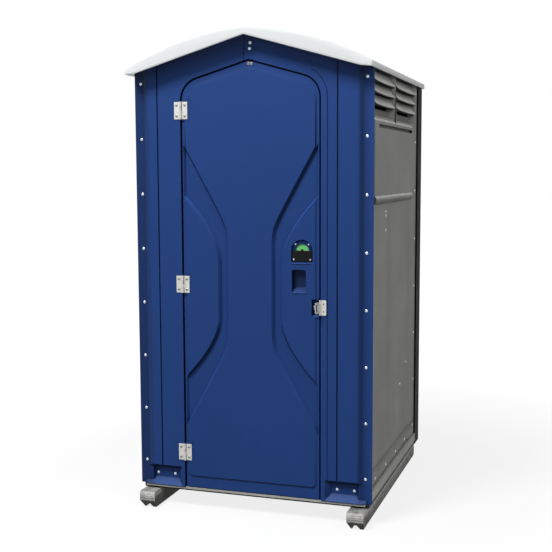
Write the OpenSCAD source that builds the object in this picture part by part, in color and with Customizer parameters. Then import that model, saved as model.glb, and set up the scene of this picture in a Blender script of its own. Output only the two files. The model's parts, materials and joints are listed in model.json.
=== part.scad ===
// Portable toilet cabin on two skids.
// Millimetres. X to the right seen from the front, Y towards the back, Z up.
// The origin is at ground level, under the middle of the roof.

/* [Cabin] */
// Width over the front corner flanges
body_w = 1118; // [1060:2:1240]
// Depth from the front corner flange to the rear panel
body_d = 1157; // [1100:1:1300]
// How far the front face stands in front of the corner flange
face_proud = 12; // [10:1:16]
// Width of the front corner flange
flange_w = 43; // [38:1:52]
// Height of the eave, the roof's lower edge at the sides
eave_z = 2002; // [1980:1:2100]
// Thickness of the formed plastic sheet
sheet = 4; // [3:0.5:5]
// Play between two pieces that seat on each other
seat = 0.3; // [0.2:0.05:0.4]

/* [Roof] */
// Overhang of the roof in front of the corner flange
roof_front = 85; // [80:1:110]
// Overhang of the roof behind the rear panel
roof_rear = 28; // [20:1:50]
// Overhang of the roof beyond the side flanges
roof_side = 8; // [6:1:20]
// Height of the eave lip
eave_lip = 42; // [30:1:60]
// Radius of each half of the vault
vault_r = 1400; // [1300:10:1700]
// Slope of the vault at the ridge
ridge_slope = 0.07; // [0.04:0.01:0.12]
// Slope of the gable's lower edge
gable_slope = 0.29; // [0.26:0.01:0.3]
// Height of the gable's lower edge at the ridge
gable_z = 2157; // [2150:1:2180]

/* [Door] */
// Width of the door
door_w = 642; // [600:1:660]
// Middle of the door to the right of the cabin's middle
door_shift = -2; // [-10:1:10]
// Height of the door's peak above the ground
door_peak = 2051; // [2000:1:2060]
// Slope of the door's top edges
door_slope = 0.288; // [0.26:0.002:0.3]
// Radius of the door's upper corners
door_corner = 95; // [60:1:120]
// Thickness of the door
door_t = 36; // [32:1:42]
// Gap round the door
door_gap = 8; // [7:0.5:10]
// Depth of the sunk channels in the door
channel_depth = 16; // [8:1:16]
// Half the width of the raised field at its waist
waist_half = 99; // [80:1:110]
// Half the width between the side lobes
lobe_half = 152; // [142:1:165]

/* [Hinges] */
// Height of a hinge
hinge_h = 77; // [70:1:90]
// Width of one hinge leaf from the pin
hinge_leaf_w = 32; // [28:1:40]
// Radius of the hinge knuckle
knuckle_r = 5; // [4.5:0.1:5.5]
// Radius of the hinge pin
pin_r = 2.5; // [2:0.1:3]
// Thickness of the metal leaves and plates
leaf_t = 2.5; // [2:0.1:3]
// Heights of the hinge centres
hinge_z = [269, 1056, 1842];

/* [Latch] */
// Distance of the latch spindle from the door's free edge
latch_inset = 78; // [70:1:85]
// Height of the latch spindle
latch_z = 1221; // [1180:1:1260]
// Radius of the indicator's window
window_r = 31; // [26:1:34]
// Radius of the spindle
spindle_r = 6; // [5:0.5:8]

/* [Skids and base] */
// Distance between the middles of the skids
skid_track = 997; // [960:1:1010]
// Width of a skid
skid_w = 76; // [70:1:84]
// Height of a skid
skid_h = 79; // [70:1:100]
// Height of the cabin floor above the skids
floor_h = 54; // [50:1:70]
// Height of the flange that the walls are riveted to
upstand_h = 108; // [90:1:130]

/* [Fasteners] */
// Radius of a rivet shank
rivet_r = 2.4; // [2:0.1:3]
// Radius of a rivet head
rivet_head_r = 6.5; // [5:0.1:8]
// Rivets on one corner flange
rivet_count = 8; // [5:1:10]

/* [Toilet] */
// Height of the tank above the floor
tank_h = 455; // [420:5:480]
// Depth of the tank from the rear wall
tank_d = 545; // [500:5:560]
// Wall of the tank
tank_wall = 5; // [4:0.5:8]
// Width of the seat
seat_w = 370; // [340:1:400]
// Depth of the seat from its hinge
seat_d = 430; // [400:1:450]
// Radius of the vent pipe
vent_r = 50; // [40:1:55]

/* [Hidden] */

$fn = 48;
eps = 0.01;
fit = 0.05;

// Planes of the shell
half_w = body_w / 2;
depth_all = roof_front + body_d + roof_rear;
flange_y = -depth_all / 2 + roof_front;
face_y = flange_y - face_proud;
back_y = flange_y + body_d;
side_x = half_w - 8;
side_in = side_x - sheet;
face_root = half_w - flange_w;
face_half = face_root - 18;
lip_half = face_root + 14;
face_z0 = 100;

// Planes of the base
base_z0 = skid_h;
floor_z = skid_h + floor_h;
ledge_z0 = 115;
ledge_z1 = 157;
upstand_z = floor_z + upstand_h;
lip_z0 = 90;
lip_z1 = face_z0 - seat;

// Planes of the roof
roof_half = half_w + roof_side;
roof_top = gable_z + 33;
roof_y0 = -depth_all / 2;
roof_y1 = depth_all / 2;

// Height of the roof, or of a surface inside it, at a place across the cabin
vault_x = vault_r * sin(atan(ridge_slope));
vault_z = roof_top - vault_r * cos(atan(ridge_slope));
function roof_z(x, inset) = vault_z + sqrt(pow(vault_r - inset, 2) - pow(abs(x) + vault_x, 2));

// Planes of the door
door_x0 = door_shift - door_w / 2;
door_x1 = door_shift + door_w / 2;
door_z0 = 104;
latch_x = door_x1 - latch_inset;
door_field_y = face_y - 2;
door_border_y = face_y + 4;
door_back_y = door_field_y + door_t;
door_part_y = door_back_y - 14;
skin = 3.5;
stop_y0 = door_back_y + 2;
stop_y1 = stop_y0 + sheet;
stop_lap = 20;

// The side wall's rear edge, where the dark rear panel shows
side_end_y = back_y - 107;
rivet_top_z = 1967;
rivet_low_z = 212.8;
rivet_pitch = (rivet_top_z - rivet_low_z) / (rivet_count - 1);

// ---------- helpers ----------

module box(x0, x1, y0, y1, z0, z1) {
  translate([x0, y0, z0]) cube([x1 - x0, y1 - y0, z1 - z0]);
}

// A profile drawn in X and Z, between two values of Y
module slab_y(y0, y1) {
  translate([0, y1, 0]) rotate([90, 0, 0]) linear_extrude(y1 - y0) children();
}

// A profile drawn in Y and Z, between two values of X
module slab_x(x0, x1) {
  translate([x0, 0, 0]) rotate([90, 0, 90]) linear_extrude(x1 - x0) children();
}

module both_sides() {
  children();
  mirror([1, 0, 0]) children();
}

function arc(cx, cy, r, a0, a1, n) =
  [for (i = [0:n]) let(a = a0 + (a1 - a0) * i / n) [cx + r * cos(a), cy + r * sin(a)]];

// A solid between two outlines in X and Z, set at two values of Y. They bulge everywhere,
// run anticlockwise seen from the front, and have the same number of points.
module loft_y(front, y_front, back, y_back) {
  n = len(front);
  points = concat(
    [for (p = front) [p[0], y_front, p[1]]],
    [for (p = back) [p[0], y_back, p[1]]]
  );
  walls = [for (i = [0:n - 1]) let(j = (i + 1) % n) each [[i, j, n + j], [i, n + j, n + i]]];
  caps = [[for (i = [n - 1:-1:0]) i], [for (i = [0:n - 1]) n + i]];
  polyhedron(points, concat(walls, caps));
}

function quad(a, b, c, d) = [[a, b, c], [a, c, d]];

// A solid between two strips in X and Z, set at two values of Y. Each strip is its left edge
// from the top down, then its right edge from the top down.
module strip_loft(front, y_front, back, y_back) {
  m = len(front) / 2;
  b = 2 * m;
  points = concat(
    [for (p = front) [p[0], y_front, p[1]]],
    [for (p = back) [p[0], y_back, p[1]]]
  );
  polyhedron(points, concat(
    [for (i = [0:m - 2]) each quad(i, m + i, m + i + 1, i + 1)],
    [for (i = [0:m - 2]) each quad(b + i, b + i + 1, b + m + i + 1, b + m + i)],
    [for (i = [0:m - 2]) each quad(b + i, i, i + 1, b + i + 1)],
    [for (i = [0:m - 2]) each quad(m + i, b + m + i, b + m + i + 1, m + i + 1)],
    quad(b, b + m, m, 0),
    quad(m - 1, b - 1, b + b - 1, b + m - 1)
  ));
}

// A blind rivet along +Y: domed head in front of y = 0, shank behind it
module rivet(length) {
  rotate([-90, 0, 0]) {
    cylinder(r = rivet_r, h = length, $fn = 16);
    translate([0, 0, -1]) cylinder(r = rivet_head_r, h = 1, $fn = 24);
    translate([0, 0, -2.6]) cylinder(r1 = rivet_head_r * 0.55, r2 = rivet_head_r, h = 1.6, $fn = 24);
  }
}

module rivet_hole(length) {
  translate([0, -length / 2, 0]) rotate([-90, 0, 0])
    cylinder(r = rivet_r + 0.1, h = length, $fn = 16);
}

// ---------- roof and gable outlines ----------

// Vault of the roof in X and Z, made smaller all round by inset
module vault(inset) {
  intersection() {
    translate([-vault_x, vault_z]) circle(vault_r - inset, $fn = 240);
    translate([vault_x, vault_z]) circle(vault_r - inset, $fn = 240);
    translate([-roof_half + inset, 0]) square([2 * (roof_half - inset), roof_top + 10]);
  }
}

// Everything above the gable's lower edge
module above_gable() {
  flat_x = (gable_z - eave_z - 5) / gable_slope;
  polygon([
    [-roof_half - 10, roof_top + 100], [-roof_half - 10, eave_z], [-roof_half, eave_z],
    [-flat_x, eave_z + 5], [0, gable_z], [flat_x, eave_z + 5],
    [roof_half, eave_z], [roof_half + 10, eave_z], [roof_half + 10, roof_top + 100]
  ]);
}

module roof() {
  color([0.93, 0.94, 0.95])
  difference() {
    slab_y(roof_y0, roof_y1) intersection() {
      vault(0);
      above_gable();
    }
    slab_y(roof_y0 + sheet + 1, roof_y1 - sheet - 1) difference() {
      vault(sheet + 1);
      translate([-roof_half, 0]) square([2 * roof_half, eave_z - 20]);
    }
    vent_axis() cylinder(r = vent_r + 3, h = 3000);
  }
}

// ---------- front frame ----------

// The front frame's outline in X and Z, up to the underside of the roof
module face_outline(inset) {
  intersection() {
    vault(sheet + 1 + seat + inset);
    translate([-half_w, face_z0 + inset]) square([body_w, 2400]);
  }
}

// The raised face's plan in X and Y, with sloped sides
module face_plan(inset) {
  front = face_half - inset * 0.3;
  root = face_root - inset * 0.3;
  polygon([
    [-root, flange_y + sheet + 1], [-root, flange_y + inset], [-front, face_y + inset],
    [front, face_y + inset], [root, flange_y + inset], [root, flange_y + sheet + 1]
  ]);
}

// Door outline in X and Z. A positive inset makes it smaller.
function door_side(sx, inset, corner_n) =
  let(
    slant = sqrt(1 + door_slope * door_slope),
    edge = sx > 0 ? door_x1 - inset : door_x0 + inset,
    r = max(door_corner - inset, 4),
    peak = door_peak - inset * slant,
    cx = edge - sx * r,
    cz = peak - door_slope * abs(cx - door_shift) - r * slant,
    lean = atan(door_slope)
  )
  arc(cx, cz, r, sx > 0 ? 0 : 90 + lean, sx > 0 ? 90 - lean : 180, corner_n);

function door_outline(inset, bottom, corner_n = 8) = concat(
  [[door_x0 + inset, bottom], [door_x1 - inset, bottom]],
  door_side(1, inset, corner_n),
  [[door_shift, door_peak - inset * sqrt(1 + door_slope * door_slope)]],
  door_side(-1, inset, corner_n)
);

// Corner pocket: it cuts away the lower outer corner of the raised face
pocket_top = 196;
pocket_in_front = 345;
pocket_in_back = 372;
pocket_slope = 18;
pocket_floor = flange_y + 14;
pocket_out_back = 490;
pocket_out_front = 498;
foot_out = 545;
foot_rise = 31;

module pocket_cut() {
  both_sides() intersection() {
    linear_extrude(400) polygon([
      [pocket_in_front - 2, face_y - 1], [pocket_in_back, pocket_floor], [pocket_out_back, pocket_floor],
      [pocket_out_front, flange_y], [face_root + 9, flange_y], [face_root + 9, face_y - 1]
    ]);
    slab_x(0, half_w) polygon([
      [face_y - 1, face_z0 + 1], [pocket_floor, face_z0 + foot_rise],
      [pocket_floor, pocket_top - pocket_slope], [face_y - 1, pocket_top + 1]
    ]);
  }
}

// Walls that close the pocket towards the hollow of the face
module pocket_walls() {
  both_sides() intersection() {
    linear_extrude(400) polygon([
      [pocket_in_front - 9, face_y + 1], [pocket_in_back - 9, pocket_floor + sheet],
      [pocket_out_back + 7, pocket_floor + sheet], [pocket_out_front + 5, flange_y + sheet],
      [face_root, flange_y + sheet], [face_root, flange_y], [face_half, face_y + 1]
    ]);
    box(0, half_w, face_y - 5, pocket_floor + sheet, face_z0, pocket_top + 9);
  }
}

// Foot below the pocket, which flares out to the flange
module foot() {
  both_sides() intersection() {
    linear_extrude(400) polygon([
      [pocket_in_front, face_y], [foot_out - 23, face_y], [foot_out, flange_y],
      [foot_out, flange_y + sheet], [pocket_out_front + 5, flange_y + sheet],
      [pocket_out_back + 7, pocket_floor + sheet], [pocket_in_front, pocket_floor + sheet]
    ]);
    slab_x(0, half_w) polygon([
      [face_y, face_z0], [face_y, face_z0 + 3], [pocket_floor, face_z0 + foot_rise],
      [pocket_floor + sheet, face_z0 + foot_rise], [pocket_floor + sheet, face_z0]
    ]);
    slab_y(face_y, pocket_floor + sheet) polygon([
      [pocket_in_front, face_z0], [foot_out, face_z0], [foot_out - foot_rise, face_z0 + foot_rise],
      [pocket_in_back, face_z0 + foot_rise]
    ]);
  }
}

groove_x = [-443.6, 401.6];
bead_gap = 38;

module face_grooves(extra) {
  for (x = groove_x) translate([x, face_y, pocket_top - 5]) linear_extrude(2400) polygon([
    [-3.5 - extra, -1], [-2.5 - extra, 5 + extra], [2.5 + extra, 5 + extra], [3.5 + extra, -1]
  ]);
}

module bead_groove() {
  intersection() {
    slab_y(face_y - 1, face_y + 2.4) difference() {
      polygon(door_outline(-bead_gap - 2.2, 0));
      polygon(door_outline(-bead_gap + 2.2, -1));
    }
    box(285, 400, face_y - 2, face_y + 3, 0, 2400);
  }
}

module front_frame() {
  difference() {
    union() {
      // flange plate
      slab_y(flange_y, flange_y + sheet) face_outline(0);
      // return of the sheet round the door opening, and the stop behind the door
      slab_y(face_y, stop_y1) intersection() {
        polygon(door_outline(-door_gap - sheet, 0));
        face_outline(0);
      }
      // raised face
      intersection() {
        slab_y(face_y - 1, flange_y + sheet) face_outline(0);
        linear_extrude(2400) face_plan(0);
      }
      pocket_walls();
      foot();
    }
    // hollow behind the raised face
    difference() {
      intersection() {
        slab_y(face_y - 1, flange_y + sheet + 1) face_outline(sheet);
        linear_extrude(2400) face_plan(sheet);
      }
      pocket_walls();
      face_grooves(sheet * 0.8);
      slab_y(face_y - 1, stop_y1) polygon(door_outline(-door_gap - sheet, 0));
    }
    pocket_cut();
    face_grooves(0);
    bead_groove();
    slab_y(face_y - 2, stop_y0) polygon(door_outline(-door_gap, 0));
    slab_y(stop_y0 - 1, stop_y1 + 1) polygon(door_outline(stop_lap, 0));
    front_rivet_places() rivet_hole(30);
    pocket_rivet_places() rivet_hole(30);
    seam_rivet_places() rivet_hole(30);
    jamb_hinge_holes();
    hasp_plate_holes();
    strike_holes();
  }
}

seam_x = -24;
seam_lap = 45;

module hinge_jamb() {
  color([0.14, 0.25, 0.47]) {
    intersection() {
      front_frame();
      box(-half_w - 1, seam_x - 1.5, face_y - 5, stop_y1 + 1, 0, 2400);
    }
    // tongue behind the other half
    difference() {
      intersection() {
        slab_y(face_y + sheet + seat, face_y + 2 * sheet + seat) face_outline(sheet + seat);
        box(seam_x - 20, seam_x + seam_lap, face_y, flange_y, door_peak - 60, 2400);
      }
      slab_y(face_y, flange_y) polygon(door_outline(-door_gap - sheet - seat, 0));
      seam_rivet_places() rivet_hole(30);
    }
    difference() {
      intersection() {
        slab_y(face_y + sheet - 1, face_y + 2 * sheet) face_outline(sheet + seat);
        box(seam_x - 20, seam_x - 1.5, face_y, flange_y, door_peak - 60, 2400);
      }
      slab_y(face_y, flange_y) polygon(door_outline(-door_gap - sheet - seat, 0));
    }
  }
}

module latch_jamb() {
  color([0.14, 0.25, 0.47])
  intersection() {
    front_frame();
    box(seam_x + 1.5, half_w + 1, face_y - 5, stop_y1 + 1, 0, 2400);
  }
}

// ---------- rivet places ----------

module front_rivet_places() {
  for (sx = [-1, 1], i = [0:rivet_count - 1])
    translate([sx * (half_w - 30), flange_y, rivet_top_z - i * rivet_pitch]) children();
}

module pocket_rivet_places() {
  for (x = [-478.6, -392.3, 396.4, 475.6])
    translate([x, pocket_floor, 150.3]) children();
}

module seam_rivet_places() {
  translate([3, face_y, 2103]) children();
  translate([6, face_y, 2128]) children();
}

module turned_out(sx) {
  rotate([0, 0, sx > 0 ? 90 : -90]) children();
}

side_rivet_y = side_end_y - 37;

module side_rivet_places() {
  for (sx = [-1, 1], i = [0:rivet_count - 1])
    translate([sx * side_x, side_rivet_y, rivet_top_z - i * rivet_pitch])
      turned_out(sx) children();
}

module rear_rivet_places() {
  for (x = [-450:150:450], z = [ledge_z1 + 35])
    translate([x, back_y, z]) rotate([0, 0, 180]) children();
}

base_rivet_y = [for (i = [0:3]) flange_y + 117 + i * (side_end_y - flange_y - 354) / 3];

module base_rivet_places() {
  for (sx = [-1, 1], y = base_rivet_y)
    translate([sx * (side_x - step_depth), y, ledge_z1 + 27]) turned_out(sx) children();
}

module tank_rivet_places() {
  for (sx = [-1, 1], p = [[tank_y1 - 459, tank_top - 86], [tank_y1 - 301, tank_top - 2]])
    translate([sx * (side_x - dish_depth), p[0], p[1]]) turned_out(sx) children();
}

module hook_rivet_places() {
  for (z = [1298, 1365, 1384])
    translate([side_x - dish_depth, hook_y, z]) turned_out(1) children();
}

module front_rivets() {
  color("gainsboro") front_rivet_places() rivet(2 * sheet + seat + 4);
}

module pocket_rivets() {
  color("gainsboro") pocket_rivet_places() rivet(2 * sheet + seat + 4);
}

module seam_rivets() {
  color("gainsboro") seam_rivet_places() rivet(2 * sheet + seat + 3);
}

module side_rivets() {
  color("gray") side_rivet_places() rivet(2 * sheet + seat + 3);
}

module rear_rivets() {
  color("gray") rear_rivet_places() rivet(2 * sheet + seat + 1);
}

module base_rivets() {
  color("gray") base_rivet_places() rivet(2 * sheet + seat + 1);
}

module wall_rivets() {
  color("gray") {
    tank_rivet_places() rivet(2 * sheet + seat + 4);
    hook_rivet_places() rivet(2 * sheet + seat + 1);
  }
}

// ---------- side panels ----------

field_y0 = flange_y + 12;
field_y1 = side_end_y - 154;
field_z0 = 1427;
field_z1 = 1797;
field_out = half_w;
louvre_z0 = 1800;
louvre_z1 = 2012;
louvre_depth = 22;
louvre_pitch = 49;
louvre_end = 62;
bank_end_y = side_end_y - 55;
mullion_y = flange_y + 0.455 * (side_end_y - flange_y);
mullion_half = 14;
panel_top = roof_z(half_w, sheet + 1 + seat);

// Sunk bank of louvres between two values of Y, with sloped ends and sill
module louvre_bank_cut(y0, y1) {
  intersection() {
    linear_extrude(2400) polygon([
      [side_x - louvre_depth, y0 + 16], [side_x + 1, y0], [side_x + 1, y1],
      [side_x - louvre_depth, y1 - louvre_end]
    ]);
    translate([0, y1, 0]) rotate([90, 0, 0]) linear_extrude(y1 - y0) polygon([
      [side_x - louvre_depth, louvre_z0 + 14], [side_x + 1, louvre_z0],
      [side_x + 1, louvre_z1], [side_x - louvre_depth, louvre_z1 - 6]
    ]);
  }
}

module louvre_bank_case(y0, y1) {
  box(side_x - louvre_depth - sheet, side_x - eps, y0 - 2, y1 + 2, louvre_z0 - 4, louvre_z1 + 4);
}

// One blade: a hooded slat with a bright lip and a slot below it
module louvre_blade(y0, y1, z) {
  root = side_x - louvre_depth - 1;
  intersection() {
    translate([0, y1, z]) rotate([90, 0, 0]) linear_extrude(y1 - y0) polygon([
      [root, 0], [side_x - 6, -7], [side_x - 0.5, -6], [side_x - 0.5, 0], [side_x - 8, 6],
      [root, 12]
    ]);
    linear_extrude(2400) polygon([
      [root, y0 + 15], [side_x, y0 - 1], [side_x, y1 + 1], [root, y1 - louvre_end + 3]
    ]);
  }
}

module louvre_slot(y0, y1, z) {
  box(side_x - louvre_depth - sheet - 1, side_x - louvre_depth + 1, y0 + 18, y1 - louvre_end - 2, z - 20, z - 4);
}

louvre_banks = [[flange_y + 14, mullion_y - mullion_half], [mullion_y + mullion_half, bank_end_y]];

// Fin between the two banks, flush above and proud below
module mullion_fin() {
  slab_y(mullion_y - 4, mullion_y + 4) polygon([
    [side_x - sheet, louvre_z1], [side_x - 1, louvre_z1], [side_x + 7, louvre_z0 + 20],
    [side_x + 7, louvre_z0 - 14], [side_x - 1, louvre_z0 - 26], [side_x - sheet, louvre_z0 - 26]
  ]);
}

module raised_field(grow) {
  // grow is negative for the hollow behind the field
  intersection() {
    linear_extrude(2400) polygon([
      [side_in - 1, field_y0 - grow], [side_x, field_y0 - grow],
      [field_out + min(grow, 0), field_y0 + 8 - grow], [field_out + min(grow, 0), field_y1 - 8 + grow],
      [side_x, field_y1 + grow], [side_in - 1, field_y1 + grow]
    ]);
    translate([0, field_y1 + 10, 0]) rotate([90, 0, 0]) linear_extrude(field_y1 - field_y0 + 20) polygon([
      [side_in - 1, field_z0 - grow], [side_x, field_z0 - grow],
      [field_out + min(grow, 0), field_z0 + 5 - grow], [field_out + min(grow, 0), field_z1 - 12 + grow],
      [side_x, field_z1 + grow], [side_in - 1, field_z1 + grow]
    ]);
  }
}

dish_depth = 7;
step_depth = 5;
step_z = 243;

// Broad shallow dish pressed into the lower wall, between two values of Y and two of Z
module dish(y0, y1, z0, z1, depth, slope) {
  rise = slope * 0.6;
  intersection() {
    translate([side_x, 0, 0]) linear_extrude(2400) polygon([
      [1, y0 - slope / depth], [1, y1 + slope / depth], [0, y1], [-depth, y1 - slope],
      [-depth, y0 + slope], [0, y0]
    ]);
    translate([side_x, y1 + 20, 0]) rotate([90, 0, 0]) linear_extrude(y1 - y0 + 40) polygon([
      [1, z0 - rise / depth], [0, z0], [-depth, z0 + rise], [-depth, z1 - rise], [0, z1],
      [1, z1 + rise / depth]
    ]);
  }
}

dish_run = field_y1 - flange_y;
dish_spans = [[flange_y + 42, flange_y + 0.446 * dish_run], [flange_y + 0.6 * dish_run, field_y1 - 4]];

module lower_dishes(back) {
  for (d = dish_spans) translate([-back, 0, 0])
    dish(d[0], d[1], 300, field_z0 - 8, dish_depth, 36);
  translate([-back, 0, 0]) dish(flange_y - 60, field_y1 + 10, -100, step_z + 20, step_depth, 30);
}

module side_panel() {
  difference() {
    union() {
      difference() {
        union() {
          box(side_in, side_x, flange_y + sheet + seat, side_end_y, ledge_z1 + seat, panel_top);
          raised_field(0);
          for (b = louvre_banks) louvre_bank_case(b[0], b[1]);
          intersection() {
            lower_dishes(sheet);
            box(side_in - 10, side_in + 1, flange_y + sheet + seat, side_end_y, ledge_z1 + seat, field_z0);
          }
        }
        raised_field(-sheet);
        for (b = louvre_banks) louvre_bank_cut(b[0], b[1]);
        for (b = louvre_banks, i = [1:4]) louvre_slot(b[0], b[1], louvre_z0 + 11 + i * louvre_pitch);
        lower_dishes(0);
      }
      for (b = louvre_banks, i = [1:3]) louvre_blade(b[0], b[1], louvre_z0 + 11 + i * louvre_pitch);
      mullion_fin();
      // bead along the foot of the raised field
      intersection() {
        translate([field_out - 12, field_y0 + 6, field_z0 + 16]) rotate([-90, 0, 0])
          cylinder(r = 20, h = field_y1 - field_y0 - 24, $fn = 48);
        box(side_in, field_out + 20, field_y0, field_y1, field_z0 - 20, field_z0 + 60);
      }
      // trough of the groove below the louvres
      slab_x(field_out - groove_depth - sheet * 0.7, field_out - 1) groove_bar(4);
      // front flange behind the blue corner flange
      box(face_half + 8, side_x, flange_y + sheet + seat, flange_y + 2 * sheet + seat,
        ledge_z1 + seat, panel_top);
      // top flange under the roof
      box(side_x - 22, side_x, flange_y + sheet + seat, side_end_y, panel_top - sheet, panel_top);
    }
    // dark groove below the louvres
    slab_x(field_out - groove_depth, field_out + 1) groove_bar(0);
    front_rivet_places() rivet_hole(40);
    side_rivet_places() rivet_hole(40);
    base_rivet_places() rivet_hole(40);
    tank_rivet_places() rivet_hole(40);
  }
}

groove_z = 1764;
groove_depth = 12;
groove_half_h = 8;

module groove_bar(grow) {
  y0 = field_y0 + 92;
  y1 = field_y1 - 20;
  translate([y0, groove_z]) circle(groove_half_h + grow, $fn = 24);
  translate([y1, groove_z]) circle(groove_half_h + grow, $fn = 24);
  translate([y0, groove_z - groove_half_h - grow]) square([y1 - y0, 2 * (groove_half_h + grow)]);
}

module side_panel_right() {
  color([0.42, 0.42, 0.42])
  difference() {
    side_panel();
    hook_rivet_places() rivet_hole(40);
    urinal_screw_places() rivet_hole(24);
  }
}

module side_panel_left() {
  color([0.42, 0.42, 0.42])
  difference() {
    mirror([1, 0, 0]) side_panel();
    paper_screw_places() rivet_hole(20);
  }
}

// ---------- rear panel ----------

rib_pitch = 200;
rib_half = 55;

module rear_panel() {
  tuck_y0 = bank_end_y + 2 + seat;
  color([0.07, 0.07, 0.08])
  difference() {
    union() {
      // rear sheet, up to the underside of the roof
      slab_y(back_y - sheet, back_y) intersection() {
        vault(sheet + 1 + seat);
        translate([-half_w, 97]) square([body_w, 2400]);
      }
      both_sides() {
        box(half_w - sheet, half_w, side_end_y + seat, back_y, 97, panel_top);
        box(side_in - seat - sheet, half_w, side_end_y + seat, side_end_y + sheet + seat,
          ledge_z1 + seat, panel_top);
        box(side_in - seat - sheet, side_in - seat, tuck_y0, side_end_y + sheet,
          ledge_z1 + seat, panel_top - sheet - seat);
      }
      for (i = [-2:2]) rear_rib(i * rib_pitch, 0);
    }
    for (i = [-2:2]) rear_rib(i * rib_pitch, sheet * 0.8);
    side_rivet_places() rivet_hole(40);
    rear_rivet_places() rivet_hole(40);
  }
}

// Shallow upright rib pressed outwards; inset makes the hollow behind it
module rear_rib(x, inset) {
  proud = 14 - inset;
  half = rib_half - inset;
  intersection() {
    translate([x, back_y, 0]) linear_extrude(2400) polygon([
      [-half, -sheet - eps], [-half, 0], [-half + 14, proud], [half - 14, proud], [half, 0],
      [half, -sheet - eps]
    ]);
    slab_x(x - 100, x + 100) polygon([
      [back_y - sheet - 1, 240 + inset], [back_y, 240 + inset], [back_y + 14, 260 + inset],
      [back_y + 14, 1920 - inset], [back_y, 1940 - inset], [back_y - sheet - 1, 1940 - inset]
    ]);
  }
}

// ---------- base and skids ----------

base_front = face_y + 4;
base_half = side_in - step_depth - seat;

module base_pan() {
  color([0.36, 0.37, 0.36])
  difference() {
    union() {
      // floor block
      box(-half_w + 14, half_w - 14, flange_y + 6, back_y - sheet - seat, base_z0 + seat, floor_z);
      // outer ledge that carries the side panels
      box(-half_w, half_w, flange_y + sheet + seat, side_end_y, ledge_z0, ledge_z1);
      // front lip below the face and the door
      box(-lip_half, lip_half, base_front, flange_y + 10, lip_z0, lip_z1);
      // upstand inside the walls
      both_sides() {
        box(base_half - sheet, base_half, flange_y + 40, side_rivet_y - 29, floor_z - 1, upstand_z);
        box(pocket_in_back - 10, pocket_out_back + 5, pocket_floor + sheet + seat,
          pocket_floor + 2 * sheet + seat, floor_z - 20, ledge_z1 + 40);
      }
      box(-base_half + 14, base_half - 14, back_y - 2 * sheet - seat, back_y - sheet - seat,
        floor_z - 1, upstand_z);
    }
    // tray inside the ledge
    box(-base_half + sheet, base_half - sheet, pocket_floor + 2 * sheet + seat, back_y - 2 * sheet - seat,
      floor_z, 400);
    // room for the backs of the corner pockets
    both_sides() box(pocket_in_front - 22, pocket_out_front + 6, face_y, pocket_floor + sheet + seat,
      lip_z1, 400);
    // step for the door and the stops of its jambs
    box(door_x0 - door_gap - sheet - seat, door_x1 + door_gap + sheet + seat, face_y, stop_y1 + seat,
      lip_z1, 400);
    base_hollows();
    pocket_rivet_places() rivet_hole(40);
    base_rivet_places() rivet_hole(40);
    rear_rivet_places() rivet_hole(40);
    skid_bolt_places() cylinder(r = 4.1, h = 300, center = true, $fn = 24);
  }
}

// Open cells under the floor, with ribs between them
cells_x = 6;
cells_y = 7;

module base_hollows() {
  x0 = -half_w + 20;
  y0 = stop_y1 + 7;
  span_x = body_w - 40;
  span_y = back_y - 16 - y0;
  pitch_x = span_x / cells_x;
  pitch_y = span_y / cells_y;
  for (i = [0:cells_x - 1], j = [0:cells_y - 1])
    translate([x0 + i * pitch_x, y0 + j * pitch_y, base_z0 - 1])
      cube([pitch_x - 6, pitch_y - 6, floor_h - 5]);
}

module skid_bolt_places() {
  for (sx = [-1, 1], y = bolt_y) translate([sx * (skid_track / 2), y, 0]) children();
}

skid_y0 = flange_y - 74;
skid_y1 = back_y - 1;
skid_wall = 7;
bolt_y = [for (i = [0:3]) skid_y0 + 174 + i * (skid_y1 - skid_y0 - 250) / 3];

// Cross-section of a skid: a box with two pointed runners below
module skid_section() {
  half = skid_w / 2;
  polygon([
    [-half, skid_h], [half, skid_h], [half, 37], [half - 1, 8], [half - 4, 0], [half - 20, 0],
    [6, 21], [-6, 21], [-half + 20, 0], [-half + 14, 0], [-half + 2, 30], [-half, 37]
  ]);
}

module skid() {
  difference() {
    translate([0, skid_y1, 0]) rotate([90, 0, 0]) linear_extrude(skid_y1 - skid_y0) skid_section();
    // sled-shaped nose: the underside rises to the front, and the top edge is rounded
    slab_x(-skid_w, skid_w) polygon(concat(
      [[skid_y0 - 1, -1], [skid_y0 - 1, 37], [skid_y0, 37]],
      [[skid_y0 + 28, 0], [skid_y0 + 28, -1]]
    ));
    slab_x(-skid_w, skid_w) difference() {
      translate([skid_y0 - 1, skid_h - 10]) square([11, 11]);
      translate([skid_y0 + 10, skid_h - 10]) circle(10, $fn = 32);
    }
    // low ribs across the nose
    for (z = [44, 54, 64])
      slab_x(-skid_w / 2 + 3, skid_w / 2 - 3) polygon([[skid_y0 - 1, z - 2.5], [skid_y0 + 2, z], [skid_y0 - 1, z + 2.5]]);
    // hollow core, open at the rear end
    box(-skid_w / 2 + skid_wall, skid_w / 2 - skid_wall, skid_y0 + 60, skid_y1 + 1, 34, skid_h - skid_wall);
    for (y = bolt_y) translate([0, y, 0]) cylinder(r = 4.1, h = 300, $fn = 24);
    anchor_hole();
  }
}

anchor_r = 6.5;

module anchor_hole() {
  translate([0, skid_y0 + 30, -1]) cylinder(r = anchor_r, h = 200, $fn = 32);
}

module skid_left() {
  color([0.5, 0.5, 0.5]) translate([-skid_track / 2, 0, 0]) skid();
}

module skid_right() {
  color([0.5, 0.5, 0.5]) translate([skid_track / 2, 0, 0]) skid();
}

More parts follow.
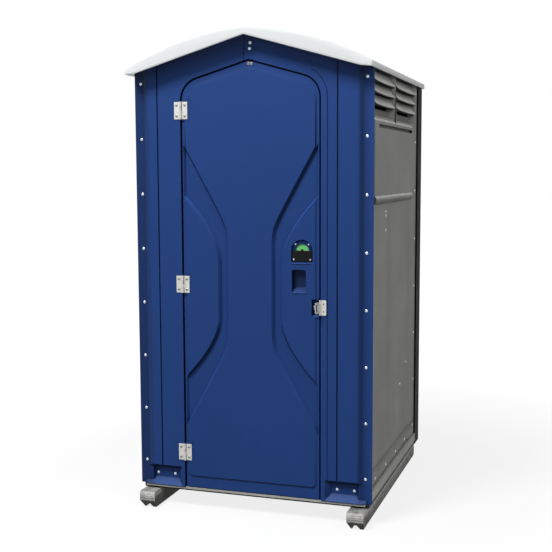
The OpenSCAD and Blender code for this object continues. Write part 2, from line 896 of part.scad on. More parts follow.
module skid_bolts() {
  color("silver") skid_bolt_places() {
    translate([0, 0, skid_h - skid_wall - 12]) cylinder(r = 4, h = floor_z - skid_h + skid_wall + 12, $fn = 24);
    translate([0, 0, floor_z]) cylinder(r1 = 11, r2 = 7, h = 4, $fn = 24);
    translate([0, 0, skid_h - skid_wall - 9]) cylinder(r = 8, h = 9 - seat, $fn = 6);
  }
}

// ---------- door ----------

field_side = 12;
field_top = 26;
field_bottom = 50;
field_bevel = 6;
top_bevel = 10;

// Raised field of the door. The inset is 0 at the foot of its bevel; the top bevel is wider.
function field_outline(inset) =
  let(
    slant = sqrt(1 + door_slope * door_slope),
    x0 = door_x0 + field_side + inset,
    x1 = door_x1 - field_side - inset,
    z0 = door_z0 + field_bottom + inset,
    drop = field_top + inset * (field_bevel + top_bevel) / field_bevel,
    peak = door_peak - drop * slant,
    r = max(door_corner - 25 - inset, 4),
    low = max(22 - inset, 4),
    lean = atan(door_slope),
    cxr = x1 - r,
    cxl = x0 + r,
    czr = peak - door_slope * abs(cxr - door_shift) - r * slant,
    czl = peak - door_slope * abs(cxl - door_shift) - r * slant
  )
  concat(
    arc(x0 + low, z0 + low, low, 180, 270, 5),
    arc(x1 - low, z0 + low, low, 270, 360, 5),
    arc(cxr, czr, r, 0, 90 - lean, 7),
    [[door_shift, peak]],
    arc(cxl, czl, r, 90 + lean, 180, 7)
  );

waist_top = 1312;
waist_bottom = 774;
flare_slope = 0.56;
lobe_top = 1459;
lobe_bottom = 623;
lobe_mid_top = 1159;
lobe_mid_bottom = 896;
channel_end = door_w / 2;
channel_slope_w = 13;
channel_steps = 7;

// A line that turns from level to a slope of 1 round a soft corner
function soft_ramp(t) = (t + sqrt(t * t + 1200)) / 2;

// Half width of the raised field, and of the space between the lobes, at a height
function field_half(z) =
  waist_half + flare_slope * (soft_ramp(z - waist_top) + soft_ramp(waist_bottom - z));
function lobe_half_at(z) =
  z > lobe_mid_top ?
    lobe_half + (channel_end - lobe_half) * pow((z - lobe_mid_top) / (lobe_top - lobe_mid_top), 1.75) :
  z < lobe_mid_bottom ?
    lobe_half + (channel_end - lobe_half) * pow((lobe_mid_bottom - z) / (lobe_mid_bottom - lobe_bottom), 1.6) :
  lobe_half;

// Sunk channel beside the waist as a strip. shift moves its edges into the channel.
function channel_strip(shift) =
  let(
    n = channel_steps,
    flare = (channel_end - 2 * shift - waist_half) / flare_slope,
    near_top = [for (i = [n:-1:0]) waist_top - 60 + (flare + 60) * i / n],
    near_low = [for (i = [0:n]) waist_bottom + 60 - (flare + 60) * i / n],
    far_top = [for (i = [n:-1:0]) lobe_mid_top + (lobe_top - lobe_mid_top) * i / n],
    far_low = [for (i = [0:n]) lobe_mid_bottom - (lobe_mid_bottom - lobe_bottom) * i / n]
  )
  concat(
    [for (z = concat(near_top, near_low)) [field_half(z) + shift, z]],
    [for (z = concat(far_top, far_low)) [lobe_half_at(z) - shift, z]]
  );

module channels(grow) {
  for (sx = [0, 1]) translate([door_shift, 0, 0]) mirror([sx, 0, 0]) strip_loft(
    channel_strip(-1 - grow), door_field_y - 1 - grow * 0.2,
    channel_strip(channel_slope_w - grow), door_field_y + channel_depth + grow
  );
}

// Sunk places in the right-hand lobe
arch_r = 49;
arch_low = 50;
arch_depth = 14;
pull_x0 = latch_x - 47;
pull_x1 = latch_x + 19;
pull_z0 = 1044;
pull_z1 = 1137;
pull_depth = 27;
hasp_z0 = 936;
hasp_z1 = 1008;
hasp_x0 = door_x1 - 33.5;
hasp_depth = 22;

module arch_shape(grow) {
  intersection() {
    union() {
      translate([latch_x, latch_z]) circle(arch_r + grow, $fn = 64);
      translate([latch_x - arch_r - grow, latch_z - arch_low - grow])
        square([2 * (arch_r + grow), arch_low + grow]);
    }
    translate([0, latch_z - arch_low - grow]) square([1000, 400]);
  }
}

module rounded_rect(x0, x1, z0, z1, r) {
  translate([x0 + r, z0]) square([x1 - x0 - 2 * r, z1 - z0]);
  translate([x0, z0 + r]) square([x1 - x0, z1 - z0 - 2 * r]);
  for (x = [x0 + r, x1 - r], z = [z0 + r, z1 - r]) translate([x, z]) circle(r, $fn = 32);
}

module arch_cut() {
  slab_y(door_field_y - 5, door_field_y + arch_depth) arch_shape(0);
}

// Pull recess with a sloped lower lip
module pull_cut() {
  intersection() {
    slab_y(door_field_y - 5, door_field_y + pull_depth) rounded_rect(pull_x0, pull_x1, pull_z0 - 20, pull_z1, 10);
    slab_x(pull_x0 - 5, pull_x1 + 5) polygon([
      [door_field_y - 6, pull_z0 - 12], [door_field_y, pull_z0 - 12], [door_field_y + pull_depth + 1, pull_z0 + 14],
      [door_field_y + pull_depth + 1, pull_z1 + 5], [door_field_y - 6, pull_z1 + 5]
    ]);
  }
}

module hasp_pocket_cut() {
  box(hasp_x0, door_x1 + 5, door_field_y - 5, door_field_y + hasp_depth, hasp_z0, hasp_z1);
  slab_x(hasp_x0, door_x1 + 5) polygon([
    [door_field_y - 5, hasp_z0 - 6], [door_field_y, hasp_z0 - 6], [door_field_y + 12, hasp_z0 + 1],
    [door_field_y - 5, hasp_z0 + 1]
  ]);
}

module recess_cases() {
  slab_y(door_field_y + 2, door_field_y + arch_depth + skin) arch_shape(skin);
  slab_y(door_field_y + 2, door_field_y + pull_depth + skin)
    rounded_rect(pull_x0 - skin, pull_x1 + skin, pull_z0 - 12 - skin, pull_z1 + skin, 12);
  box(hasp_x0 - skin, door_x1 - 1, door_field_y + 2, door_field_y + hasp_depth + skin,
    hasp_z0 - 6 - skin, hasp_z1 + skin);
}

hinge_x = door_x0 - door_gap / 2;
hinge_y = face_y - knuckle_r;
hinge_pad_w = 40;
hinge_pad_h = hinge_h + 14;

module door_hinge_pads(y0, y1, grow) {
  for (z = hinge_z)
    box(door_x0 - 1, hinge_x + hinge_pad_w + grow, y0, y1, z - hinge_pad_h / 2 - grow, z + hinge_pad_h / 2 + grow);
}

module door_outer_skin() {
  color([0.15, 0.27, 0.5])
  difference() {
    union() {
      difference() {
        union() {
          slab_y(door_border_y, door_part_y) polygon(door_outline(0, door_z0));
          loft_y(field_outline(field_bevel), door_field_y, field_outline(-1), door_border_y + 1);
        }
        channels(0);
        // hollow behind the skin, with the channels' backs left in it
        difference() {
          union() {
            slab_y(door_border_y + skin, door_part_y + 1) polygon(door_outline(skin, door_z0 + skin));
            loft_y(field_outline(field_bevel + 2), door_field_y + skin,
               field_outline(1), door_border_y + skin + 1);
          }
          channels(skin);
          door_hinge_pads(face_y - 1, door_part_y - 2, 0);
        }
        door_hinge_pads(face_y - 10, face_y, 4);
      }
      difference() {
        recess_cases();
        slab_y(door_part_y, door_back_y) door_rim_band();
      }
      intersection() {
        door_hinge_pads(face_y, door_part_y - 2, 0);
        slab_y(face_y - 1, door_part_y) polygon(door_outline(0, door_z0));
      }
    }
    arch_cut();
    pull_cut();
    hasp_pocket_cut();
    latch_bore(spindle_r + fit);
    door_hinge_holes();
    peak_rivet_places() rivet_hole(8);
    indicator_screw_places() rivet_hole(40);
    staple_holes();
  }
}

// Band along the door's rim that the inner tray fills
module door_rim_band() {
  difference() {
    polygon(door_outline(-5, door_z0 - 5));
    polygon(door_outline(skin + seat, door_z0 + skin + seat));
  }
}

inner_panels = [[330, 780], [860, 1310], [1390, 1800]];

module door_inner_skin() {
  color([0.15, 0.27, 0.5])
  difference() {
    slab_y(door_part_y, door_back_y) polygon(door_outline(0, door_z0));
    difference() {
      slab_y(door_part_y - 1, door_back_y - skin) polygon(door_outline(skin, door_z0 + skin));
      inner_panel_backs();
    }
    for (z = inner_panels)
      slab_y(door_back_y - 6, door_back_y + 1)
        rounded_rect(door_x0 + 60, latch_x - 75, z[0], z[1], 24);
    latch_bore(spindle_r + fit);
    handle_screw_places() rivet_hole(24);
  }
}

module inner_panel_backs() {
  for (z = inner_panels)
    slab_y(door_back_y - 6 - skin, door_back_y)
      rounded_rect(door_x0 + 60 - skin, latch_x - 75 + skin, z[0] - skin, z[1] + skin, 26);
}

// ---------- hinges ----------

spring_room = 16;
knuckle_h = 20;

module hinge_jamb_leaf() {
  difference() {
    union() {
      for (z = [-hinge_h / 2, hinge_h / 2 - knuckle_h])
        translate([0, 0, z]) cylinder(r = knuckle_r, h = knuckle_h, $fn = 32);
      for (z = [-hinge_h / 2, hinge_h / 2 - knuckle_h])
        box(-hinge_leaf_w, 0, knuckle_r - leaf_t, knuckle_r, z, z + knuckle_h);
      box(-hinge_leaf_w, -knuckle_r - 0.8, knuckle_r - leaf_t, knuckle_r, -hinge_h / 2, hinge_h / 2);
    }
    translate([0, 0, -hinge_h]) cylinder(r = pin_r + fit, h = 2 * hinge_h, $fn = 24);
    hinge_leaf_holes(-1);
  }
}

module hinge_door_leaf() {
  low = -hinge_h / 2 + knuckle_h + 0.5;
  high = hinge_h / 2 - knuckle_h - spring_room - 0.5;
  difference() {
    union() {
      translate([0, 0, low]) cylinder(r = knuckle_r, h = high - low, $fn = 32);
      box(0, hinge_leaf_w, knuckle_r - leaf_t, knuckle_r, low, high);
      box(knuckle_r + 0.8, hinge_leaf_w, knuckle_r - leaf_t, knuckle_r, -hinge_h / 2, hinge_h / 2);
    }
    translate([0, 0, -hinge_h]) cylinder(r = pin_r + fit, h = 2 * hinge_h, $fn = 24);
    hinge_leaf_holes(1);
  }
}

module hinge_leaf_holes(sx) {
  for (z = [-24, 24]) translate([sx * 20, 0, z]) rivet_hole(40);
}

module hinge_places() {
  for (z = hinge_z) translate([hinge_x, hinge_y, z]) children();
}

module jamb_hinge_holes() {
  hinge_places() hinge_leaf_holes(-1);
}

module door_hinge_holes() {
  hinge_places() for (z = [-24, 24]) translate([20, 15, z]) rivet_hole(34);
}

module hinge_jamb_leaves() {
  color("silver") hinge_places() hinge_jamb_leaf();
}

module hinge_door_leaves() {
  color("silver") hinge_places() hinge_door_leaf();
}

module hinge_pins() {
  color("silver") hinge_places() translate([0, 0, -hinge_h / 2 - 1.5]) {
    cylinder(r = pin_r, h = hinge_h + 1.5, $fn = 24);
    cylinder(r = knuckle_r - 0.5, h = 1.5 - 0.1, $fn = 24);
    translate([0, 0, hinge_h + 1.6]) cylinder(r = knuckle_r - 0.5, h = 1.5, $fn = 24);
    translate([0, 0, hinge_h + 1]) cylinder(r = pin_r, h = 1, $fn = 24);
  }
}

// Closing spring round each pin, between two knuckles
module hinge_springs() {
  wire = 1.1;
  turns = 5;
  low = hinge_h / 2 - knuckle_h - spring_room + 0.6;
  step = (spring_room - 1.2 - 2 * wire) / (turns - 1);
  color("silver") hinge_places() {
    for (i = [0:turns - 1])
      translate([0, 0, low + wire + i * step]) rotate_extrude($fn = 24)
        translate([pin_r + 0.3 + wire, 0]) circle(wire, $fn = 16);
    translate([-pin_r - 0.3 - wire, 0, low + wire])
      cylinder(r = wire * 0.8, h = spring_room - 1.2 - 2 * wire, $fn = 16);
  }
}

module hinge_jamb_rivets() {
  color("gainsboro") hinge_places() for (z = [-24, 24])
    translate([-20, knuckle_r - leaf_t, z]) rivet(leaf_t + sheet + 3);
}

module hinge_door_rivets() {
  color("gainsboro") {
    hinge_places() for (z = [-24, 24]) translate([20, knuckle_r - leaf_t, z]) rivet(leaf_t + 14);
    peak_rivet_places() rivet(skin + 2);
  }
}

module peak_rivet_places() {
  for (x = [-4, 10]) translate([x, door_border_y, door_peak - 12]) children();
}

// ---------- indicator and latch ----------

disc_r = window_r + 3;
recess_floor = door_field_y + arch_depth;

module latch_bore(r) {
  translate([latch_x, door_field_y - 5, latch_z]) rotate([-90, 0, 0]) cylinder(r = r, h = 80, $fn = 32);
}

module indicator_bezel() {
  plate_y = recess_floor - 9;
  color([0.12, 0.2, 0.42])
  difference() {
    slab_y(plate_y, recess_floor - seat) difference() {
      translate([latch_x, latch_z]) circle(arch_r - 4, $fn = 64);
      translate([latch_x - 100, latch_z - 200]) square([200, 200 + seat]);
    }
    slab_y(plate_y - 1, recess_floor) translate([latch_x, latch_z]) circle(window_r, $fn = 64);
    slab_y(plate_y + 4, recess_floor) translate([latch_x, latch_z]) circle(disc_r + 1, $fn = 64);
    indicator_screw_places() rivet_hole(40);
  }
}

module indicator_cover() {
  plate_y = recess_floor - 11;
  color([0.08, 0.09, 0.1])
  difference() {
    union() {
      slab_y(plate_y, recess_floor - seat)
        rounded_rect(latch_x - arch_r + 4, latch_x + arch_r - 4, latch_z - arch_low + 3, latch_z - seat, 3);
      slab_y(plate_y, plate_y + 3) intersection() {
        translate([latch_x, latch_z]) circle(7, $fn = 32);
        translate([latch_x - 10, latch_z - 10]) square([20, 20]);
      }
    }
    slab_y(plate_y + 6, recess_floor) translate([latch_x, latch_z]) circle(disc_r + 1, $fn = 64);
    indicator_screw_places() rivet_hole(40);
  }
}

screw_spots = [[-30, 28, 9], [30, 28, 9], [-38, -39, 11], [38, -39, 11]];

module indicator_screw_places() {
  for (s = screw_spots) translate([latch_x + s[0], recess_floor - s[2], latch_z + s[1]]) children();
}

module indicator_screws() {
  color("gainsboro") indicator_screw_places() rotate([-90, 0, 0]) {
    cylinder(r = rivet_r, h = 16, $fn = 16);
    translate([0, 0, -1.8]) cylinder(r1 = 3, r2 = 4.4, h = 1.8, $fn = 24);
  }
}

module indicator_disc() {
  color([0.35, 0.75, 0.42])
  difference() {
    slab_y(recess_floor - 3.6, recess_floor - 1) translate([latch_x, latch_z]) circle(disc_r, $fn = 64);
    latch_bore(spindle_r - 2 + fit);
  }
}

lever_y = door_back_y;

module latch_spindle() {
  color("silver") translate([latch_x, 0, latch_z]) {
    translate([0, recess_floor - 1 + seat, 0]) rotate([-90, 0, 0])
      cylinder(r = spindle_r, h = paddle_y1 - recess_floor + 1 - seat + 18, $fn = 32);
    translate([0, recess_floor - 3.6, 0]) rotate([-90, 0, 0])
      cylinder(r = spindle_r - 2, h = 5, $fn = 32);
  }
}

paddle_y0 = stop_y1 + 2.5;
paddle_y1 = paddle_y0 + 5;
paddle_len = door_x1 + 2 - latch_x;

module strike_plate() {
  color("silver")
  difference() {
    box(door_x1 - stop_lap + 1, door_x1 + door_gap + sheet - 1, stop_y1, stop_y1 + 1.5,
      latch_z - 45, latch_z + 45);
    strike_holes();
  }
}

module strike_holes() {
  for (z = [-34, 34]) translate([door_x1 - 8, stop_y1, latch_z + z]) rivet_hole(20);
}

// Turning bolt. It points away from the jamb when vacant and behind it when locked.
module latch_paddle() {
  color([0.2, 0.2, 0.22])
  difference() {
    translate([latch_x, 0, latch_z]) {
      slab_y(paddle_y0, paddle_y1) {
        translate([-paddle_len, -12]) square([paddle_len, 24]);
        circle(16, $fn = 48);
        translate([-paddle_len, 0]) circle(12, $fn = 32);
      }
      translate([0, door_back_y + 0.5, 0]) rotate([-90, 0, 0])
        cylinder(r = 13, h = paddle_y0 - door_back_y, $fn = 32);
    }
    latch_bore(spindle_r + fit);
  }
}

module latch_lever() {
  color([0.12, 0.12, 0.13])
  difference() {
    translate([latch_x, 0, latch_z]) {
      slab_y(paddle_y1 + seat, paddle_y1 + 15) {
        circle(17, $fn = 48);
        translate([-8, 0]) square([16, 52]);
        translate([0, 52]) circle(8, $fn = 32);
      }
      translate([0, paddle_y1 + 8, 52]) rotate([-90, 0, 0]) cylinder(r = 8, h = 22, $fn = 32);
    }
    latch_bore(spindle_r + fit);
  }
}

module door_grab_handle() {
  x = 120;
  z0 = latch_z - 70;
  z1 = latch_z + 70;
  reach = 36;
  r = 8;
  color([0.1, 0.1, 0.11])
  difference() {
    union() {
      for (z = [z0, z1]) translate([x, door_back_y, z]) rotate([-90, 0, 0]) {
        cylinder(r = 15, h = 4, $fn = 32);
        cylinder(r = r, h = reach, $fn = 32);
      }
      translate([x, door_back_y + reach, z0]) cylinder(r = r, h = z1 - z0, $fn = 32);
      for (z = [z0, z1]) translate([x, door_back_y + reach, z]) sphere(r, $fn = 32);
    }
    handle_screw_places() rivet_hole(24);
  }
}

module handle_screw_places() {
  for (z = [latch_z - 70, latch_z + 70], dx = [-11.4, 11.4])
    translate([120 + dx, door_back_y + 4, z]) rotate([0, 0, 180]) children();
}

module handle_screws() {
  color("silver") handle_screw_places() small_screw(4 + skin + 2);
}

module small_screw(length) {
  rotate([-90, 0, 0]) {
    cylinder(r = rivet_r, h = length, $fn = 16);
    translate([0, 0, -1.5]) cylinder(r1 = 2, r2 = 3.4, h = 1.5, $fn = 24);
  }
}

hook_y = dish_spans[0][1] - 80;
hook_z = 1320;

// Coat hook on the right wall, held by the rivets seen from outside
module coat_hook() {
  wall_x = fixture_x;
  color("silver")
  difference() {
    union() {
      slab_x(wall_x - 3, wall_x) rounded_rect(hook_y - 14, hook_y + 14, 1282, 1394, 10);
      translate([wall_x - 32, hook_y, hook_z]) rotate([0, 90, 0]) cylinder(r = 5, h = 30, $fn = 24);
      translate([wall_x - 32, hook_y, hook_z]) cylinder(r = 5, h = 22, $fn = 24);
      translate([wall_x - 32, hook_y, hook_z]) sphere(5, $fn = 24);
      translate([wall_x - 32, hook_y, hook_z + 22]) sphere(8, $fn = 24);
    }
    hook_rivet_places() rivet_hole(40);
  }
}

// ---------- hasp ----------

hasp_axis_x = door_x1 + door_gap / 2 + 1.5;
hasp_axis_y = face_y - 4.2;
hasp_mid = (hasp_z0 + hasp_z1) / 2;
hasp_h = 68;
hasp_leaf_len = 37;
hasp_rest = 76;
hasp_pin_r = 1.8;
hasp_knuckle = 4;

module hasp_plate_holes() {
  for (dz = [-17, 17]) translate([hasp_axis_x + 16, face_y, hasp_mid + dz]) rivet_hole(30);
}

module hasp_plate() {
  color("silver")
  difference() {
    union() {
      slab_y(face_y - leaf_t, face_y)
        rounded_rect(hasp_axis_x + hasp_knuckle + 0.8, hasp_axis_x + 28, hasp_mid - hasp_h / 2, hasp_mid + hasp_h / 2, 6);
      for (s = [-1, 1]) {
        translate([hasp_axis_x, hasp_axis_y, hasp_mid + s * (hasp_h / 2 - 10) - 9])
          cylinder(r = hasp_knuckle, h = 18, $fn = 32);
        box(hasp_axis_x, hasp_axis_x + 12, face_y - leaf_t, face_y - 0.4,
          hasp_mid + s * (hasp_h / 2 - 10) - 9, hasp_mid + s * (hasp_h / 2 - 10) + 9);
      }
    }
    translate([hasp_axis_x, hasp_axis_y, 0]) cylinder(r = hasp_pin_r + fit, h = 2400, $fn = 24);
    hasp_plate_holes();
  }
}

module hasp_pin() {
  color("silver") translate([hasp_axis_x, hasp_axis_y, hasp_mid - hasp_h / 2]) {
    cylinder(r = hasp_pin_r, h = hasp_h, $fn = 24);
    translate([0, 0, -0.5]) cylinder(r = hasp_knuckle - 0.6, h = 1.2, $fn = 24);
    translate([0, 0, hasp_h - 0.7]) cylinder(r = hasp_knuckle - 0.6, h = 1.2, $fn = 24);
  }
}

// Swinging leaf, drawn closed and then turned to where it stands
module hasp_leaf() {
  color("silver")
  translate([hasp_axis_x, hasp_axis_y, hasp_mid]) rotate([0, 0, hasp_rest])
  difference() {
    union() {
      translate([0, 0, -14.5]) cylinder(r = hasp_knuckle, h = 29, $fn = 32);
      translate([0, hasp_knuckle - 0.2, 0]) slab_y(-leaf_t, 0) {
        translate([-hasp_leaf_len + 8, -14.5]) square([hasp_leaf_len - 8, 29]);
        rounded_rect(-hasp_leaf_len, -hasp_knuckle - 0.8, -26, 26, 9);
      }
    }
    translate([0, 0, -50]) cylinder(r = hasp_pin_r + fit, h = 100, $fn = 24);
    box(-hasp_leaf_len + 7, -15, -10, 20, -15, 15);
  }
}

staple_x = hasp_axis_x - 23;
staple_r = 2.5;
staple_half = 10;

module staple_holes() {
  for (s = [-1, 1]) translate([staple_x, door_field_y + hasp_depth, hasp_mid + s * staple_half])
    rotate([-90, 0, 0]) cylinder(r = staple_r + 0.1, h = 30, center = true, $fn = 24);
}

module hasp_staple() {
  tip = face_y - 12;
  foot = door_field_y + hasp_depth + skin + 2;
  color("silver") translate([staple_x, 0, hasp_mid]) {
    for (s = [-1, 1]) translate([0, tip + staple_half, s * staple_half]) rotate([-90, 0, 0])
      cylinder(r = staple_r, h = foot - tip - staple_half, $fn = 24);
    translate([0, tip + staple_half, 0]) rotate([0, 90, 0]) rotate([0, 0, 180])
      rotate_extrude(angle = 180, $fn = 48) translate([staple_half, 0]) circle(staple_r, $fn = 24);
  }
}

module hasp_rivets() {
  color("dimgray") for (dz = [-17, 17])
    translate([hasp_axis_x + 16, face_y - leaf_t, hasp_mid + dz]) rotate([-90, 0, 0]) {
      cylinder(r = rivet_r, h = leaf_t + sheet + 3, $fn = 16);
      translate([0, 0, -1]) cylinder(r1 = 3, r2 = 4, h = 1, $fn = 24);
    }
  color("dimgray") for (z = [-34, 34]) translate([door_x1 - 8, stop_y1 + 1.5, latch_z + z]) rotate([90, 0, 0]) {
    cylinder(r = rivet_r, h = 1.5 + sheet + 1, $fn = 16);
    translate([0, 0, -0.6]) cylinder(r = 3.4, h = 0.6, $fn = 24);
  }
}

// ---------- toilet ----------

tank_y1 = back_y - 2 * sheet - seat - 2;
tank_y0 = tank_y1 - tank_d;
fixture_x = side_in - dish_depth - seat;
tank_half = base_half - sheet - 2;
tank_top = floor_z + tank_h;
seat_axis_y = tank_y1 - 105;
bowl_y = seat_axis_y - 205;
bowl_r = 125;

module tank_profile(inset) {
  r = 40 - inset;
  polygon(concat(
    [[tank_y1 - inset, floor_z + inset], [tank_y1 - inset, tank_top - inset]],
    arc(tank_y0 + inset + r, tank_top - inset - r, r, 90, 170, 8),
    [[tank_y0 + 45 + inset, floor_z + inset]]
  ));
}

module waste_tank() {
  color([0.2, 0.21, 0.22])
  difference() {
    union() {
      slab_x(-tank_half, tank_half) tank_profile(0);
      both_sides() box(tank_half - sheet, tank_half, tank_y0 + 60, tank_y1, tank_top - 10, tank_top + 30);
      intersection() {
        tank_rivet_places() rotate([-90, 0, 0]) cylinder(r = 16, h = 30);
        box(-fixture_x, fixture_x, tank_y0, tank_y1, floor_z, tank_top + 60);
      }
      vent_axis() translate([0, 0, tank_top - 1]) cylinder(r = vent_r + 6, h = 31);
      translate([drain_x, tank_y0 + 30, drain_z]) rotate([90, 0, 0]) cylinder(r = drain_r + 6, h = 50);
    }
    difference() {
      slab_x(-tank_half + tank_wall, tank_half - tank_wall) tank_profile(tank_wall);
      bolt_head_room(tank_wall);
    }
    bolt_head_room(0);
    translate([0, bowl_y, tank_top - 50]) cylinder(r = bowl_r, h = 100);
    vent_axis() translate([0, 0, tank_top - 20]) cylinder(r = vent_r + seat, h = 100);
    translate([drain_x, tank_y0 + 60, drain_z]) rotate([90, 0, 0]) cylinder(r = drain_r + seat, h = 120);
    seat_block_places() translate([0, 0, tank_top - 20]) cylinder(r = 3.1, h = 60, $fn = 24);
    tank_rivet_places() rivet_hole(40);
  }
}

// Room under the tank's two ends for the bolt heads in the floor
module bolt_head_room(grow) {
  both_sides() box(skid_track / 2 - 30 - grow, half_w, tank_y0 - 1, back_y, floor_z - 1, floor_z + 8 + grow);
}

seat_axis_z = tank_top + 24;
seat_t = 20;
rod_r = 5;
ear_x = [70, 95];

module seat_block_places() {
  for (sx = [-1, 1]) translate([sx * 135, seat_axis_y, 0]) children();
}

module seat_hinge_block() {
  color([0.85, 0.85, 0.84])
  difference() {
    seat_block_places() {
      box(-15, 15, -16, 16, tank_top, tank_top + 8);
      box(-9, 9, -10, 10, tank_top + 4, seat_axis_z);
      translate([-9, 0, seat_axis_z]) rotate([0, 90, 0]) cylinder(r = 10, h = 18, $fn = 32);
      translate([0, 0, tank_top - 12]) cylinder(r = 3, h = 14, $fn = 24);
    }
    rod_bore(rod_r + fit);
  }
}

module rod_bore(r) {
  translate([-300, seat_axis_y, seat_axis_z]) rotate([0, 90, 0]) cylinder(r = r, h = 600, $fn = 32);
}

module seat_hinge_rod() {
  color("silver") translate([-150, seat_axis_y, seat_axis_z]) rotate([0, 90, 0]) {
    cylinder(r = rod_r, h = 300, $fn = 32);
    cylinder(r = rod_r + 3, h = 4, $fn = 32);
    translate([0, 0, 296]) cylinder(r = rod_r + 3, h = 4, $fn = 32);
  }
}

// Seat and lid outline in X and Y, with the hinge side at y = 0 and the front at negative Y
module seat_outline(inset) {
  r = seat_w / 2 - inset;
  translate([0, -seat_d + seat_w / 2]) circle(r, $fn = 96);
  translate([-r, -seat_d + seat_w / 2]) square([2 * r, seat_d - seat_w / 2 - 40 - inset]);
}

module seat_opening(grow) {
  r = seat_w / 2 - 72 + grow;
  translate([0, -seat_d + seat_w / 2 - 4]) circle(r, $fn = 64);
  translate([-r, -seat_d + seat_w / 2 - 4]) square([2 * r, 40]);
  translate([0, -seat_d + seat_w / 2 + 36]) circle(r, $fn = 64);
}

module toilet_seat() {
  low = tank_top + seat - seat_axis_z;
  color([0.12, 0.12, 0.13])
  translate([0, seat_axis_y, seat_axis_z])
  difference() {
    union() {
      translate([0, 0, low]) linear_extrude(seat_t - 5) difference() {
        seat_outline(0);
        seat_opening(0);
      }
      translate([0, 0, low + seat_t - 5 - eps]) linear_extrude(5) difference() {
        seat_outline(5);
        seat_opening(5);
      }
      for (sx = [-1, 1]) {
        box(sx * 82 - 12, sx * 82 + 12, -46, 0, low, low + seat_t - 6);
        translate([sx * 82 - 12, 0, 0]) rotate([0, 90, 0]) cylinder(r = 9.5, h = 24, $fn = 32);
        box(sx * 82 - 12, sx * 82 + 12, -9, 9, low + 4, 0);
      }
    }
    translate([-300, 0, 0]) rotate([0, 90, 0]) cylinder(r = rod_r + fit, h = 600, $fn = 32);
  }
}

lid_open = 100;
lid_t = 12;

// Lid, drawn closed above the seat and then turned open
module seat_lid() {
  low = tank_top + seat + seat_t + 1 - seat_axis_z;
  color([0.14, 0.14, 0.15])
  translate([0, seat_axis_y, seat_axis_z]) rotate([-lid_open, 0, 0])
  difference() {
    union() {
      translate([0, 0, low]) linear_extrude(lid_t - 4) seat_outline(0);
      translate([0, 0, low + lid_t - 4 - eps]) linear_extrude(4) seat_outline(5);
      for (sx = [-1, 1]) {
        box(sx * 110 - 10, sx * 110 + 10, -46, 0, low, low + lid_t - 4);
        translate([sx * 110 - 10, 0, 0]) rotate([0, 90, 0]) cylinder(r = 9.5, h = 20, $fn = 32);
        box(sx * 110 - 10, sx * 110 + 10, -9, 0, 0, low + lid_t - 4);
      }
    }
    translate([-300, 0, 0]) rotate([0, 90, 0]) cylinder(r = rod_r + fit, h = 600, $fn = 32);
  }
}

// ---------- vent ----------

vent_x = -420;
vent_y = tank_y1 - 75;
vent_top = roof_top - 22;

module vent_axis() {
  translate([vent_x, vent_y, 0]) children();
}

module vent_pipe() {
  color([0.16, 0.16, 0.17])
  vent_axis() translate([0, 0, tank_top - 12]) difference() {
    cylinder(r = vent_r, h = vent_top - tank_top + 12);
    translate([0, 0, -1]) cylinder(r = vent_r - 3, h = 2400);
  }
}

collar_z = roof_z(vent_x, 0);
collar_lean = asin((abs(vent_x) + vault_x) / vault_r);

module vent_collar() {
  color([0.1, 0.1, 0.1])
  vent_axis() difference() {
    union() {
      translate([0, 0, collar_z - 30]) cylinder(r = vent_r + 3 - seat, h = 54);
      // flange that lies on the sloping roof
      translate([0, 0, collar_z]) rotate([0, -collar_lean, 0]) translate([0, 0, seat]) {
        cylinder(r = vent_r + 16, h = 5);
        translate([0, 0, 5 - eps]) cylinder(r1 = vent_r + 9, r2 = vent_r + 4, h = 9);
      }
    }
    translate([0, 0, collar_z - 60]) cylinder(r = vent_r + seat, h = 120);
  }
}

module vent_cap() {
  color([0.12, 0.12, 0.13])
  vent_axis() {
    difference() {
      translate([0, 0, vent_top - 12]) cylinder(r = vent_r + 8, h = 26);
      translate([0, 0, vent_top - 13]) cylinder(r = vent_r + 5, h = 22);
    }
    for (a = [0:120:240]) rotate([0, 0, a])
      box(vent_r + seat, vent_r + 6, -4, 4, vent_top - 12, vent_top + 10);
    for (a = [0:120:240]) rotate([0, 0, a])
      box(vent_r - 8, vent_r + 2, -4, 4, vent_top + seat, vent_top + 10);
  }
}

// ---------- urinal ----------

urinal_y = (dish_spans[0][0] + dish_spans[0][1]) / 2;
urinal_half = 120;
urinal_z0 = floor_z + 500;
urinal_h = 330;
urinal_d = 190;
drain_r = 16;
drain_x = fixture_x - 95;
drain_z = floor_z + 300;

module urinal_profile(inset) {
  wall_x = fixture_x;
  polygon(concat(
    [[wall_x - inset, urinal_z0 + urinal_h], [wall_x - inset, urinal_z0 + inset]],
    [[wall_x - 70, urinal_z0 + inset]],
    arc(wall_x - urinal_d + inset + 60, urinal_z0 + inset + 70, 60, 235, 180, 6),
    [[wall_x - urinal_d + inset + 4, urinal_z0 + 190]],
    [[wall_x - urinal_d + inset + 40, urinal_z0 + 200]],
    [[wall_x - 60, urinal_z0 + urinal_h]]
  ));
}

module urinal_plan(inset) {
  wall_x = fixture_x;
  half = urinal_half - inset;
  polygon(concat(
    [[wall_x + 1, -half], [wall_x + 1, half]],
    arc(wall_x - urinal_d + inset + 90, half - 90, 90, 90, 180, 8),
    arc(wall_x - urinal_d + inset + 90, -half + 90, 90, 180, 270, 8)
  ));
}

